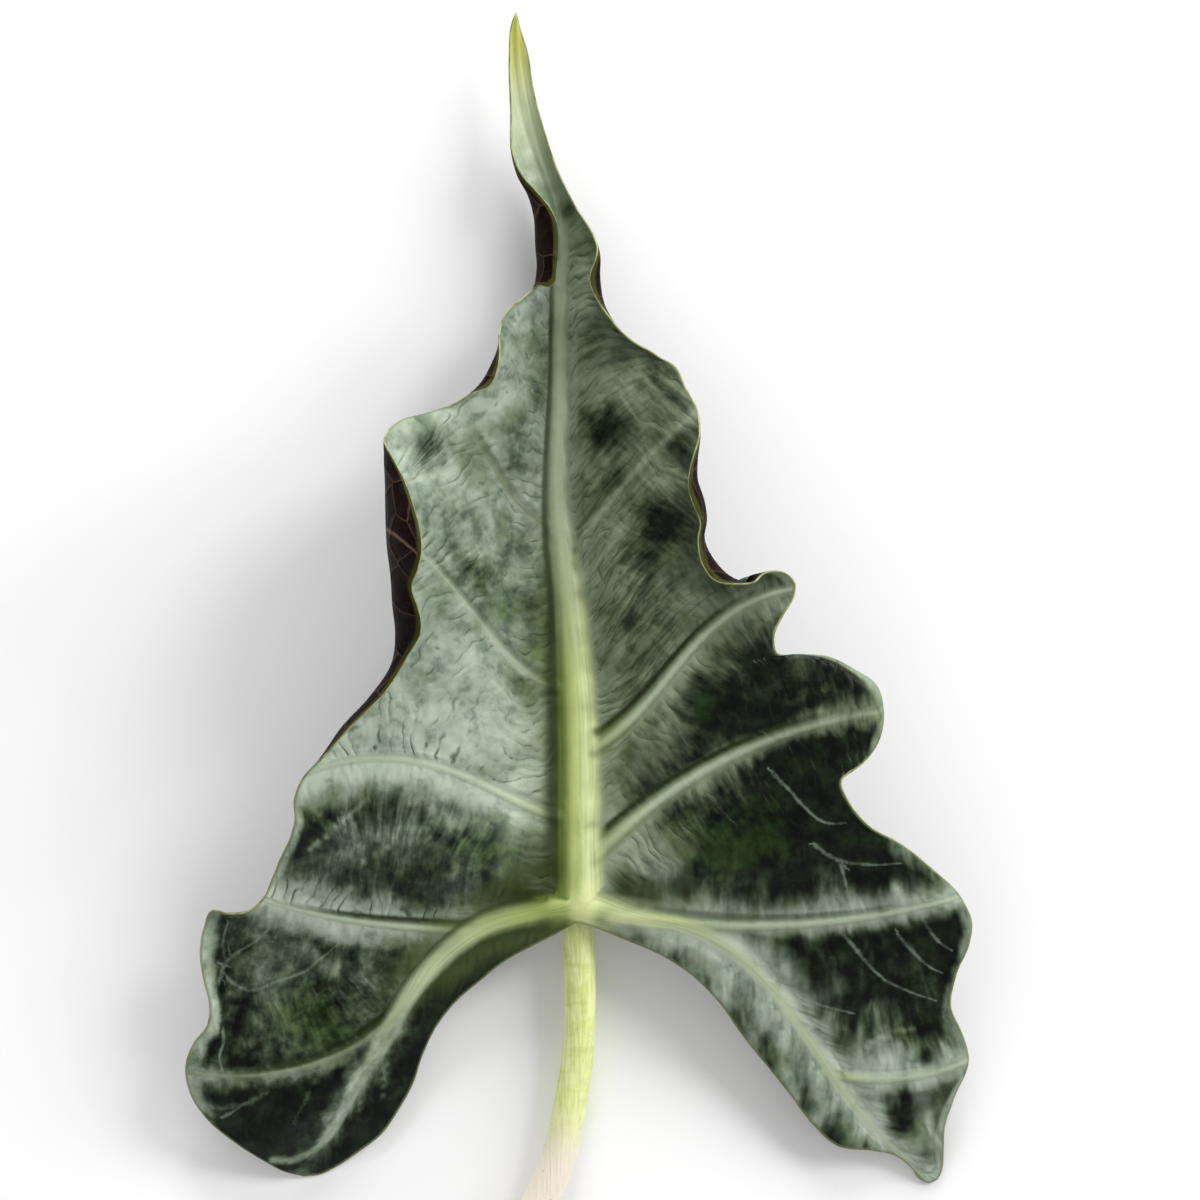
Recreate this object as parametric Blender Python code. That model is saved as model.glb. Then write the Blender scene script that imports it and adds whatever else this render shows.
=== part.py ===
"""An alocasia leaf, picked and laid down with its upper face up.

The blade is one thin sheet. It is laid out as lines that run from the midrib, or from the rib of
a posterior lobe, to the margin, the way the lateral ribs do. Each line rises, sags and curls as a
leaf does. The sheet then gets its two faces, with the ribs standing out of both.
"""

import math

import bpy
import numpy as np
from mathutils import Matrix, Vector

MM = 0.001

# Driving dimensions, in millimetres and degrees. X runs to the right, Y to the drip tip, and the
# ribs meet at X = 0, Y = 0 until the leaf is moved to its own frame at the end.
BLADE_THICKNESS = 0.9
EDGE_THICKNESS = 0.65
CREST_HALF_WIDTH = 0.8
RIB_HEIGHT = 1.1
RIB_DEPTH = 1.1
RIB_HALF_WIDTH = 2.6
RIB_END_HALF_WIDTH = 1.2
RIB_TAPER = 0.7
KEEL_SPREAD = 1.25
CREASE_DEPTH = 0.6
QUILT_HEIGHT = 1.3
QUILT_REACH = 40.0
LINE_SPACING = 5.0
FLAT_SHARES = (0.0, 0.03, 0.07, 0.12, 0.22, 0.38, 0.56, 0.78, 1.0)
CURL_SHARES = (0.2, 0.4, 0.6, 0.8, 1.0)
STRIP_SHARES = (0.15, 0.35, 0.65, 1.0)
STRIP_BEND = 0.4
CURL_REACH = 0.6
CREASE_OFFSET = 2.4
STALK_SIDES = 20
STALK_STEP = 4.0
STALK_GAP = 0.3
TINY_STEP = 0.1
REST_HEIGHT = 0.8
NOTCH_Y = -3.4
CREST_FADE = 6.0
TIP_LENGTH = 20.0

# How finely curves are sampled while distances along them are found.
NEAREST_TRIES = 3000
PATH_TRIES = 61
CURL_TRIES = 41
RIB_TRIES = 60
SMALL_TURN = 1e-3

# Midrib from the drip tip to where the ribs meet: X, Y and the height of the sheet.
MIDRIB = [
    (-15.5, 225.0, 15.0), (-15.0, 212.0, 12.5), (-13.5, 202.0, 10.5), (-11.5, 194.0, 9.0),
    (-8.0, 184.0, 7.5), (-4.4, 171.0, 5.4), (-4.7, 160.0, 4.0), (-4.9, 148.0, 2.8),
    (-4.9, 130.0, 2.1), (-5.5, 112.0, 2.1), (-4.9, 96.0, 2.9), (-2.8, 80.0, 4.6),
    (-1.2, 58.0, 8.2), (-0.3, 36.0, 11.4), (0.0, 14.0, 14.6), (0.0, 0.0, 16.0),
]

# Midrib by the share of its length: share, half width, height above the blade and depth below it.
MIDRIB_PROFILE = [
    (0.0, 1.0, 0.3, 0.4), (0.12, 1.6, 1.3, 0.6), (0.35, 2.2, 1.9, 1.0), (0.5, 2.8, 2.3, 1.5),
    (0.62, 3.8, 3.0, 1.9), (0.77, 5.0, 3.2, 2.2), (1.0, 5.8, 2.8, 2.6),
]

# The same for the rib of a posterior lobe.
LOBE_RIB_PROFILE = [(0.0, 4.4, 1.5, 2.2), (0.3, 3.4, 1.2, 1.8), (0.7, 2.2, 0.7, 1.0), (1.0, 1.0, 0.2, 0.3)]

# Ribs of the two posterior lobes, from where the ribs meet to the end of the lobe.
LOBE_RIB_RIGHT = [
    (0.0, 0.0, 16.0), (12.0, -1.8, 16.6), (30.0, -5.0, 16.2), (45.0, -15.5, 14.4),
    (59.5, -34.5, 11.2), (69.5, -49.5, 8.4), (80.0, -61.0, 4.8), (88.75, -70.0, 1.3),
]
LOBE_RIB_LEFT = [
    (0.0, 0.0, 16.0), (-10.0, -0.6, 16.6), (-24.0, -4.6, 16.4), (-39.0, -17.4, 14.6),
    (-50.0, -34.5, 11.6), (-59.0, -50.0, 7.8), (-65.8, -61.5, 4.0), (-69.5, -68.25, 1.3),
]

# Margin from the drip tip to the end of the posterior lobe, as seen from above: X, Y, how far the
# edge curls up (down where negative) in degrees, and the width of blade that takes the curl.
MARGIN_RIGHT = [
    (-15.5, 225.0, 0, 1.0), (-14.8, 222.0, 20, 1.0), (-12.9, 216.0, 30, 1.2), (-11.1, 205.0, 30, 1.6),
    (-8.4, 195.0, 25, 2.5), (-4.9, 185.0, 15, 3.5), (-0.3, 176.0, 10, 4.5),
    (3.75, 169.5, 25, 5.0), (5.3, 164.5, 80, 5.5), (5.3, 158.5, 130, 6.5),
    (6.5, 151.5, 125, 6.5), (11.0, 144.5, 60, 6.0), (20.0, 138.5, 5, 7.0),
    (24.5, 135.5, -10, 8.0), (27.0, 130.0, -15, 8.0), (29.8, 124.5, -5, 7.0),
    (30.3, 119.5, 60, 7.0), (29.5, 112.0, 128, 8.5), (29.5, 107.5, 138, 9.5),
    (31.2, 102.0, 138, 9.5), (31.8, 97.5, 122, 8.0), (31.2, 93.0, 120, 8.0),
    (33.9, 87.0, 138, 10.5), (39.5, 82.3, 135, 11.0), (43.5, 81.8, 90, 8.5),
    (46.0, 84.0, 35, 6.0), (50.2, 84.5, 25, 5.0), (53.6, 82.0, 15, 5.0),
    (53.6, 78.8, 10, 5.0), (50.8, 73.8, 60, 4.5), (48.5, 68.5, 85, 4.5),
    (49.3, 64.5, 20, 5.0), (56.0, 64.0, -20, 6.0), (62.3, 63.3, -45, 7.0),
    (69.3, 59.8, -62, 8.5), (74.0, 56.5, -68, 9.0), (76.0, 50.0, -65, 8.5),
    (74.6, 42.0, -40, 7.0), (70.3, 36.6, -10, 6.0), (65.4, 32.5, 25, 6.0),
    (67.4, 27.3, 15, 6.0), (72.3, 21.5, -10, 6.0), (80.5, 16.7, -20, 7.0),
    (88.3, 10.5, -22, 7.0), (95.2, 3.7, -25, 7.0), (98.3, -3.0, -20, 6.5),
    (97.7, -8.3, 0, 6.0), (94.5, -16.3, 28, 6.0), (93.5, -25.0, 32, 6.0),
    (96.3, -31.0, 0, 6.0), (98.3, -38.0, -22, 6.0), (94.6, -48.5, 0, 5.0),
    (92.4, -56.0, 18, 4.5), (92.0, -64.0, 0, 3.0), (88.75, -70.0, 0, 1.0),
]
MARGIN_LEFT = [
    (-15.5, 225.0, 0, 1.0), (-16.6, 222.0, 20, 1.0), (-17.2, 214.0, 30, 1.2), (-16.8, 200.0, 35, 1.6),
    (-16.5, 190.0, 60, 3.0), (-14.9, 184.0, 85, 4.5), (-12.4, 179.5, 110, 7.0),
    (-10.8, 174.0, 140, 13.0), (-10.4, 167.0, 148, 16.0), (-10.1, 160.0, 125, 13.0),
    (-11.0, 155.8, 60, 7.0), (-14.0, 153.0, 20, 6.0), (-18.0, 149.4, 0, 6.0),
    (-19.5, 145.0, 10, 6.0), (-19.7, 140.5, 80, 7.0), (-21.2, 136.5, 112, 8.0),
    (-24.2, 131.2, 112, 8.0), (-27.4, 128.2, 60, 6.5), (-32.0, 125.8, 5, 6.0),
    (-38.2, 123.6, -15, 6.0), (-44.2, 121.6, -10, 6.0), (-47.0, 118.5, 35, 7.0),
    (-47.2, 113.0, 115, 15.0), (-46.8, 105.0, 148, 25.0), (-46.7, 98.5, 156, 29.0),
    (-46.4, 91.0, 150, 26.0), (-45.6, 83.0, 138, 19.0), (-45.2, 76.0, 146, 21.5),
    (-44.6, 69.5, 142, 19.0), (-45.4, 62.5, 128, 13.0), (-50.8, 53.8, 134, 14.5),
    (-57.8, 46.2, 134, 13.5), (-63.5, 38.2, 100, 9.0), (-68.6, 32.3, 15, 7.0),
    (-70.1, 27.8, -5, 7.0), (-69.9, 23.3, 10, 7.0), (-71.2, 18.5, 5, 7.0),
    (-73.6, 13.7, -5, 7.0), (-75.9, 8.3, 5, 6.0), (-78.4, 3.0, 45, 5.5),
    (-83.0, -0.3, 90, 5.5), (-87.3, -0.6, 80, 5.0), (-91.4, 0.0, 10, 5.0),
    (-93.2, -4.0, -10, 5.0), (-94.3, -10.5, 5, 6.0), (-93.3, -18.0, 22, 6.0),
    (-92.0, -24.0, 30, 6.0), (-92.6, -28.8, 12, 6.0), (-96.0, -33.2, -15, 6.0),
    (-98.3, -39.0, -22, 6.0), (-97.0, -47.0, -15, 6.0), (-93.5, -52.5, -5, 6.0),
    (-86.0, -59.3, 10, 6.0), (-79.3, -64.0, 0, 5.0), (-74.5, -66.8, 0, 3.0),
    (-69.5, -68.25, 0, 1.0),
]

# Middle of the stalk from inside the blade's base to the cut, with its radius. The first part of it,
# up to STUB_LENGTH, belongs to the blade.
STALK = [
    (0.0, 13.0, 13.2, 1.8), (0.0, 6.0, 11.8, 3.2), (0.0, -1.0, 10.1, 3.9), (0.1, -6.0, 9.2, 4.0),
    (0.3, -12.5, 8.5, 4.0), (0.5, -25.0, 7.6, 4.0), (0.0, -37.2, 6.9, 4.0), (-1.3, -46.0, 6.4, 4.1),
    (-2.8, -54.5, 6.0, 4.2), (-5.3, -64.5, 5.6, 4.3), (-8.6, -72.5, 5.4, 4.4), (-12.8, -79.8, 5.4, 4.5),
    (-17.6, -86.4, 5.4, 4.5),
]
STUB_LENGTH = 18.6

# Edge of the sinus between the lobes, from where the ribs meet to the end of the lobe.
SINUS_RIGHT = [
    (5.0, -4.8), (12.0, -7.6), (20.8, -11.4), (28.3, -16.3), (35.8, -23.8), (40.8, -31.0),
    (45.5, -37.0), (53.3, -46.6), (59.0, -54.3), (65.3, -60.0), (74.8, -61.5), (80.5, -62.9),
    (84.5, -66.5), (88.75, -70.0),
]
SINUS_LEFT = [
    (-4.3, -5.6), (-10.5, -8.8), (-19.3, -13.8), (-24.3, -17.9), (-30.5, -23.2), (-35.8, -30.0),
    (-39.5, -37.8), (-41.6, -44.2), (-45.4, -51.2), (-49.7, -57.4), (-55.5, -62.0),
    (-61.5, -66.0), (-65.5, -67.9), (-69.5, -68.25),
]

# Lateral ribs: their start, two points that bend them, and their end at the margin, each as X, Y.
# Those numbered in LATERAL stand out of the blade. The others only steer the lines near the tip.
RIBS_RIGHT = [
    [(-4.0, 163.0), (-1.5, 166.0), (1.0, 168.0), (3.75, 169.5)],
    [(-6.4, 122.0), (0.0, 134.0), (10.0, 141.0), (20.0, 138.5)],
    [(-2.0, 84.0), (4.5, 100.0), (13.5, 110.0), (29.8, 124.5)],
    [(-0.8, 38.0), (24.0, 50.0), (26.0, 76.0), (53.6, 80.5)],
    [(0.0, 9.0), (20.0, 32.0), (46.0, 46.0), (76.0, 50.0)],
    [(20.0, -3.0), (45.0, -5.6), (70.0, -3.6), (95.2, 3.7)],
    [(64.5, -42.0), (76.0, -44.0), (88.0, -43.0), (98.3, -38.0)],
]
RIBS_LEFT = [
    [(-4.0, 163.0), (-6.0, 165.0), (-8.0, 167.0), (-10.4, 167.0)],
    [(-6.4, 118.0), (-13.0, 126.0), (-15.0, 138.0), (-19.7, 142.5)],
    [(-5.4, 95.0), (-22.0, 102.0), (-20.0, 118.0), (-34.0, 125.2)],
    [(-1.8, 55.0), (-17.0, 54.0), (-28.0, 84.0), (-46.7, 95.0)],
    [(-0.6, 22.0), (-18.0, 24.0), (-34.0, 46.0), (-66.0, 35.3)],
    [(-26.0, -5.8), (-42.0, -4.0), (-60.0, -3.6), (-78.4, 3.0)],
    [(-43.8, -24.0), (-56.0, -39.0), (-76.0, -44.0), (-98.0, -41.0)],
]
LATERAL = (2, 3, 4, 5, 6)

# Slope of the blade away from its rib, by the distance along the margin as a share of its length:
# share, slope at the rib and slope where the curl starts, in degrees.
SLOPES_RIGHT = [
    (0.00, 5, 5), (0.08, 28, 36), (0.16, 32, 40), (0.26, 28, 30), (0.31, 26, 26), (0.40, 25, 24),
    (0.48, 22, 18), (0.56, 20, 12), (0.62, 17, 6), (0.69, 14, 10), (0.76, 6, 10), (0.80, 3, 9),
    (0.86, 5, 4), (0.91, 9, -3), (1.00, 4, -4),
]
SLOPES_LEFT = [
    (0.00, 5, 5), (0.08, 30, 44), (0.17, 34, 48), (0.25, 32, 36), (0.32, 32, 32), (0.43, 32, 28),
    (0.52, 28, 24), (0.62, 22, 14), (0.68, 13, 12), (0.72, 6, 11), (0.80, 4, 6), (0.88, 9, -3),
    (1.00, 4, -4),
]
SINUS_SLOPE_RIGHT = -6.0
SINUS_SLOPE_LEFT = -22.0


def steps_along(points):
    """Distance along the points from the first, in plan."""
    plan = np.asarray(points, float)[:, :2]
    return np.concatenate([[0.0], np.cumsum(np.hypot(*np.diff(plan, axis=0).T))])


def smooth(keys, values, at):
    """Cubic through the values at the keys, with each tangent set by the two sides' slopes."""
    keys = np.asarray(keys, float)
    values = np.asarray(values, float)
    values = values[:, None] if values.ndim == 1 else values
    gap = np.diff(keys)[:, None]
    slope = np.diff(values, axis=0) / gap
    tangent = np.empty_like(values)
    tangent[0], tangent[-1] = slope[0], slope[-1]
    tangent[1:-1] = (slope[:-1] * gap[1:] + slope[1:] * gap[:-1]) / (gap[1:] + gap[:-1])
    at = np.clip(np.asarray(at, float), keys[0], keys[-1])
    i = np.clip(np.searchsorted(keys, at, side="right") - 1, 0, len(keys) - 2)
    width = gap[i]
    t = ((at - keys[i])[:, None]) / width
    out = (
        (2 * t**3 - 3 * t**2 + 1) * values[i]
        + (t**3 - 2 * t**2 + t) * width * tangent[i]
        + (3 * t**2 - 2 * t**3) * values[i + 1]
        + (t**3 - t**2) * width * tangent[i + 1]
    )
    return out if out.shape[1] > 1 else out[:, 0]


def steady(keys, values, at):
    """Cubic through rising values that never turns back."""
    keys = np.asarray(keys, float)
    values = np.asarray(values, float)
    gap = np.diff(keys)
    slope = np.diff(values) / gap
    tangent = np.concatenate([[slope[0]], np.zeros(len(slope) - 1), [slope[-1]]])
    both = (slope[:-1] > 0) & (slope[1:] > 0)
    tangent[1:-1][both] = 2 * slope[:-1][both] * slope[1:][both] / (slope[:-1] + slope[1:])[both]
    at = np.clip(np.asarray(at, float), keys[0], keys[-1])
    i = np.clip(np.searchsorted(keys, at, side="right") - 1, 0, len(keys) - 2)
    t = (at - keys[i]) / gap[i]
    return (
        (2 * t**3 - 3 * t**2 + 1) * values[i]
        + (t**3 - 2 * t**2 + t) * gap[i] * tangent[i]
        + (3 * t**2 - 2 * t**3) * values[i + 1]
        + (t**3 - t**2) * gap[i] * tangent[i + 1]
    )


def nearest_step(points, target):
    """Distance along a smooth curve through the points of its place nearest to the target."""
    keys = steps_along(points)
    at = np.linspace(0, keys[-1], NEAREST_TRIES)
    plan = smooth(keys, np.asarray(points, float)[:, :2], at)
    return at[np.argmin(np.hypot(plan[:, 0] - target[0], plan[:, 1] - target[1]))]


def bezier(corners, t):
    """Points of a cubic with the four corners, which may differ for each line."""
    t = np.asarray(t, float)[..., None]
    a, b, c, d = corners
    return (1 - t) ** 3 * a + 3 * t * (1 - t) ** 2 * b + 3 * t**2 * (1 - t) * c + t**3 * d


class Half:
    """One side of the blade, from the midrib and the lobe's rib out to the margin."""

    def __init__(self, side, margin, lobe_rib, sinus, ribs, slopes, sinus_slope):
        self.side = side
        self.margin = margin
        self.margin_keys = steps_along(margin)
        self.length = self.margin_keys[-1]
        self.lobe_rib = lobe_rib
        self.meeting = steps_along(MIDRIB)[-1]
        self.inner_length = self.meeting + steps_along(lobe_rib)[-1]
        self.sinus = [(side * CREST_HALF_WIDTH, NOTCH_Y)] + sinus
        self.sinus_keys = steps_along(self.sinus)
        self.ribs = ribs
        self.slopes = np.array(slopes, float)
        self.sinus_slope = sinus_slope
        ends = [nearest_step(margin, rib[3]) for rib in ribs]
        starts = [self.nearest_inner(rib[0]) for rib in ribs]
        self.rib_at = np.array([0.0] + ends + [self.length])
        self.rib_from = np.array([0.0] + starts + [self.inner_length])
        bends = [(0, 0, 0, 0)]
        for rib, start in zip(ribs, starts):
            a = self.inner_point(np.array([start]))[0, :2]
            d = np.array(rib[3])
            bends.append((*(np.array(rib[1]) - (2 * a + d) / 3), *(np.array(rib[2]) - (a + 2 * d) / 3)))
        self.bends = np.array(bends + [(0, 0, 0, 0)], float)

    def inner_point(self, inner_step):
        """X, Y and height on the midrib and then on the lobe's rib, which meet at a corner."""
        on_midrib = smooth(steps_along(MIDRIB), np.array(MIDRIB), inner_step)
        on_lobe = smooth(steps_along(self.lobe_rib), np.array(self.lobe_rib), inner_step - self.meeting)
        return np.where((inner_step <= self.meeting)[:, None], on_midrib, on_lobe)

    def nearest_inner(self, target):
        """Distance along the midrib and the lobe's rib of their place nearest to the target."""
        at = np.linspace(0, self.inner_length, NEAREST_TRIES)
        plan = self.inner_point(at)
        return at[np.argmin(np.hypot(plan[:, 0] - target[0], plan[:, 1] - target[1]))]

    def inner_at(self, margin_step):
        """Where on the midrib or the lobe's rib the line that ends at this step of the margin starts."""
        return steady(self.rib_at, self.rib_from, margin_step)

    def corners(self, margin_step):
        """The four plan corners of each line, and the height of the sheet where it starts."""
        inner_step = self.inner_at(margin_step)
        start = self.inner_point(inner_step)
        a = start[:, :2].copy()
        past = np.clip((inner_step - self.meeting) / CREST_FADE, 0.0, 1.0)
        crest = np.clip(margin_step / TIP_LENGTH, 0.0, 1.0) * (1.0 - past)
        a[:, 0] += self.side * CREST_HALF_WIDTH * crest
        d = smooth(self.margin_keys, np.array(self.margin, float)[:, :2], margin_step)
        bend = smooth(self.rib_at, self.bends, margin_step)
        b = (2 * a + d) / 3 + bend[:, :2]
        c = (a + 2 * d) / 3 + bend[:, 2:]
        return (a, b, c, d), start[:, 2]

    def lines(self, spacing):
        """Steps along the margin where lines run: at each rib, beside it, and evenly between."""
        fixed = set(np.round(self.rib_at, 4))
        for k in LATERAL:
            fixed.add(round(self.rib_at[k + 1] - CREASE_OFFSET, 4))
            fixed.add(round(self.rib_at[k + 1] + CREASE_OFFSET, 4))
        fine = np.linspace(0, self.length, NEAREST_TRIES)
        fixed.add(round(float(np.interp(self.meeting, self.inner_at(fine), fine)), 4))
        fixed = sorted(fixed)
        steps = []
        for low, high in zip(fixed, fixed[1:]):
            count = max(1, int(round((high - low) / spacing)))
            steps += list(np.linspace(low, high, count + 1)[:-1])
        return np.array(steps + [self.length])

    def sheet(self, steps, flat_shares, curl_shares):
        """Points of the sheet, one row for each line, and how far out each is as a share."""
        (a, b, c, d), height = self.corners(steps)
        t = np.linspace(0, 1, PATH_TRIES)
        path = bezier([corner[:, None, :] for corner in (a, b, c, d)], t[None, :])
        pieces = np.hypot(*np.diff(path, axis=1).transpose(2, 0, 1))
        along = np.concatenate([np.zeros((len(steps), 1)), np.cumsum(pieces, 1)], 1)
        reach = along[:, -1]
        share = steps / self.length
        slopes = np.radians(smooth(self.slopes[:, 0], self.slopes[:, 1:], share))
        start, end = slopes[:, :1], slopes[:, 1:2]
        curl = smooth(self.margin_keys, np.array(self.margin)[:, 2:], steps)
        turn = np.radians(curl[:, :1])
        turn = np.where(np.abs(turn) < SMALL_TURN, SMALL_TURN, turn)
        g = np.linspace(0, 1, CURL_TRIES)[None, :]
        furthest = np.max((np.sin(end + turn * g) - np.sin(end)) / turn, axis=1, keepdims=True)
        width = np.minimum(curl[:, 1:2], CURL_REACH * reach[:, None] / furthest)
        bend = end - start
        bend = np.where(np.abs(bend) < SMALL_TURN, SMALL_TURN, bend)
        level = (np.sin(start + bend) - np.sin(start)) / bend
        length = (reach[:, None] - width * furthest) / level
        f = np.array(flat_shares)[None, :]
        out = length * (np.sin(start + bend * f) - np.sin(start)) / bend
        up = length * (np.cos(start) - np.cos(start + bend * f)) / bend
        up += self.quilt(steps, reach)[:, None] * np.sin(math.pi * f) ** 2
        g = np.array(curl_shares)[None, :]
        out_curl = out[:, -1:] + width * (np.sin(start + bend + turn * g) - np.sin(start + bend)) / turn
        up_curl = up[:, -1:] + width * (np.cos(start + bend) - np.cos(start + bend + turn * g)) / turn
        out = np.concatenate([out, out_curl], 1)
        up = np.concatenate([up, up_curl], 1)
        points = np.empty(out.shape + (3,))
        for i in range(len(steps)):
            v = np.interp(out[i], along[i], t) if reach[i] > 0 else np.zeros(out.shape[1])
            points[i, :, :2] = bezier((a[i], b[i], c[i], d[i]), v)
        points[:, :, 2] = height[:, None] + up
        outward = np.tile(np.concatenate([f, 1 + g], 1), (len(steps), 1))
        return points, outward

    def quilt(self, steps, reach):
        """Height of the puffed blade between two ribs."""
        k = np.clip(np.searchsorted(self.rib_at, steps, side="right") - 1, 0, len(self.rib_at) - 2)
        share = (steps - self.rib_at[k]) / (self.rib_at[k + 1] - self.rib_at[k])
        return QUILT_HEIGHT * np.sin(math.pi * share) ** 2 * np.clip(reach / QUILT_REACH, 0, 1)

    def strip(self, steps, shares):
        """Points of the narrow strip between the lobe's rib and the sinus."""
        (a, _, _, _), height = self.corners(steps)
        share = (self.inner_at(steps) - self.meeting) / (self.inner_length - self.meeting)
        edge = smooth(self.sinus_keys, np.array(self.sinus), share * self.sinus_keys[-1])
        s = np.array(shares)[None, :]
        across = np.hypot(*(edge - a).T)[:, None]
        bent = (1 - STRIP_BEND) * s + STRIP_BEND * s**2
        fall = math.tan(math.radians(self.sinus_slope)) * across * bent
        points = np.empty((len(steps), len(shares), 3))
        points[:, :, :2] = a[:, None, :] + (edge - a)[:, None, :] * s[:, :, None]
        points[:, :, 2] = height[:, None] + fall
        return points

    def rib_lines(self):
        """Each lateral rib as points in plan, and the step of the margin where it ends."""
        found = []
        for k in LATERAL:
            (a, b, c, d), _ = self.corners(self.rib_at[k + 1 : k + 2])
            line = bezier((a[0], b[0], c[0], d[0]), np.linspace(0, 1, RIB_TRIES))
            found.append((line, self.rib_at[k + 1]))
        return found


def distance_to(points, line):
    """Distance in plan of each point from a line, and the share of the line's length nearest to it."""
    best = np.full(len(points), np.inf)
    share = np.zeros(len(points))
    keys = steps_along(line) / steps_along(line)[-1]
    for i in range(len(line) - 1):
        a, b = line[i], line[i + 1]
        along = b - a
        t = np.clip(((points - a) @ along) / max(along @ along, 1e-12), 0, 1)
        d = np.hypot(*(points - a - t[:, None] * along).T)
        nearer = d < best
        best[nearer] = d[nearer]
        share[nearer] = (keys[i] + (keys[i + 1] - keys[i]) * t)[nearer]
    return best, share


def ridge(distance, half_width):
    """Rounded profile, 1 on the line and 0 from half_width on."""
    return np.cos(math.pi / 2 * np.minimum(distance / half_width, 1.0)) ** 2


def profile_at(profile, share):
    """Half width, height and depth of a rib at shares of its length."""
    table = np.array(profile)
    return [np.interp(share, table[:, 0], column) for column in table[:, 1:].T]


def reliefs(plan, outward, margin_step, half):
    """Half the thickness of the blade, and how far the ribs stand out above and below it."""
    edge = np.clip(outward - 1.0, 0.0, 1.0)
    half_thick = (BLADE_THICKNESS + (EDGE_THICKNESS - BLADE_THICKNESS) * edge) / 2
    fade = 1.0 - edge
    away, share = distance_to(plan, np.array(MIDRIB)[:, :2])
    width, height, depth = profile_at(MIDRIB_PROFILE, share)
    above = fade * height * ridge(away, width)
    below = fade * depth * ridge(away, KEEL_SPREAD * width)
    away, share = distance_to(plan, np.array(half.lobe_rib)[:, :2])
    width, height, depth = profile_at(LOBE_RIB_PROFILE, share)
    above = np.maximum(above, fade * height * ridge(away, width))
    below = np.maximum(below, fade * depth * ridge(away, KEEL_SPREAD * width))
    for line, ends_at in half.rib_lines():
        away, share = distance_to(plan, line)
        width = RIB_HALF_WIDTH + (RIB_END_HALF_WIDTH - RIB_HALF_WIDTH) * share
        taper = fade * (1.0 - RIB_TAPER * share)
        above = np.maximum(above, taper * RIB_HEIGHT * ridge(away, width))
        below = np.maximum(below, taper * RIB_DEPTH * ridge(away, width))
        distal = margin_step < ends_at
        crease = np.where(distal, ridge(np.abs(away - CREASE_OFFSET), RIB_HALF_WIDTH / 2), 0.0)
        above -= taper * CREASE_DEPTH * crease
        below += taper * CREASE_DEPTH * crease
    return half_thick, above, below


class Sheet:
    """The blade's middle surface as triangles. For each point it holds what reliefs gives."""

    def __init__(self):
        self.points = np.empty((0, 3))
        self.relief = np.empty((0, 3))
        self.triangles = []

    def add(self, points, relief):
        """Adds rows of points and gives back their numbers."""
        first = len(self.points)
        self.points = np.concatenate([self.points, points.reshape(-1, 3)])
        self.relief = np.concatenate([self.relief, np.stack(relief, 1)])
        return first + np.arange(len(self.points) - first).reshape(points.shape[:2])

    def join_grid(self, index, turned):
        """Two triangles for each cell of a grid, cut along its shorter diagonal, turned over if asked."""
        a, b, c, d = index[:-1, :-1], index[1:, :-1], index[1:, 1:], index[:-1, 1:]
        a, b, c, d = (corner.ravel() for corner in (a, b, c, d))
        p = self.points
        short = np.linalg.norm(p[a] - p[c], axis=1) <= np.linalg.norm(p[b] - p[d], axis=1)
        first = np.where(short[:, None], np.stack([a, b, c], 1), np.stack([a, b, d], 1))
        second = np.where(short[:, None], np.stack([a, c, d], 1), np.stack([b, c, d], 1))
        cells = np.concatenate([first, second])
        self.triangles.append(cells[:, ::-1] if turned else cells)

    def join_lines(self, left, left_at, right, right_at):
        """Triangles between two lines of points that run side by side."""
        i = j = 0
        found = []
        while i < len(left) - 1 or j < len(right) - 1:
            if j == len(right) - 1 or (i < len(left) - 1 and left_at[i + 1] <= right_at[j + 1]):
                found.append((left[i], left[i + 1], right[j]))
                i += 1
            else:
                found.append((left[i], right[j + 1], right[j]))
                j += 1
        self.triangles.append(np.array(found))

    def weld(self, within=1e-3):
        """Points that coincide made one, and triangles that collapsed dropped."""
        _, first, index = np.unique(
            np.round(self.points / within).astype(np.int64), axis=0, return_index=True, return_inverse=True
        )
        triangles = index.reshape(-1)[np.concatenate(self.triangles)]
        whole = (
            (triangles[:, 0] != triangles[:, 1])
            & (triangles[:, 1] != triangles[:, 2])
            & (triangles[:, 0] != triangles[:, 2])
        )
        self.points, self.relief = self.points[first], self.relief[first]
        self.triangles = triangles[whole]

    def normals(self):
        """Unit normal at each point, the mean of its triangles by area."""
        corners = self.points[self.triangles]
        across = np.cross(corners[:, 1] - corners[:, 0], corners[:, 2] - corners[:, 0])
        total = np.zeros_like(self.points)
        for k in range(3):
            np.add.at(total, self.triangles[:, k], across)
        return total / np.linalg.norm(total, axis=1, keepdims=True)

    def closed(self):
        """Points and triangles of the solid between the two faces."""
        count = len(self.points)
        offset = self.normals() * self.relief[:, :1]
        upper, lower = self.points + offset, self.points - offset
        upper[:, 2] += self.relief[:, 1]
        lower[:, 2] -= self.relief[:, 2]
        lower[:, 2] = np.maximum(lower[:, 2], REST_HEIGHT)
        upper[:, 2] = np.maximum(upper[:, 2], REST_HEIGHT + EDGE_THICKNESS)
        ends = np.concatenate([self.triangles[:, pair] for pair in ([0, 1], [1, 2], [2, 0])])
        _, index, times = np.unique(np.sort(ends, 1), axis=0, return_index=True, return_counts=True)
        rim = ends[index[times == 1]]
        walls = np.concatenate(
            [
                np.stack([rim[:, 1], rim[:, 0], rim[:, 0] + count], 1),
                np.stack([rim[:, 1], rim[:, 0] + count, rim[:, 1] + count], 1),
            ]
        )
        faces = np.concatenate([self.triangles, self.triangles[:, ::-1] + count, walls])
        return np.concatenate([upper, lower]), faces


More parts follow.
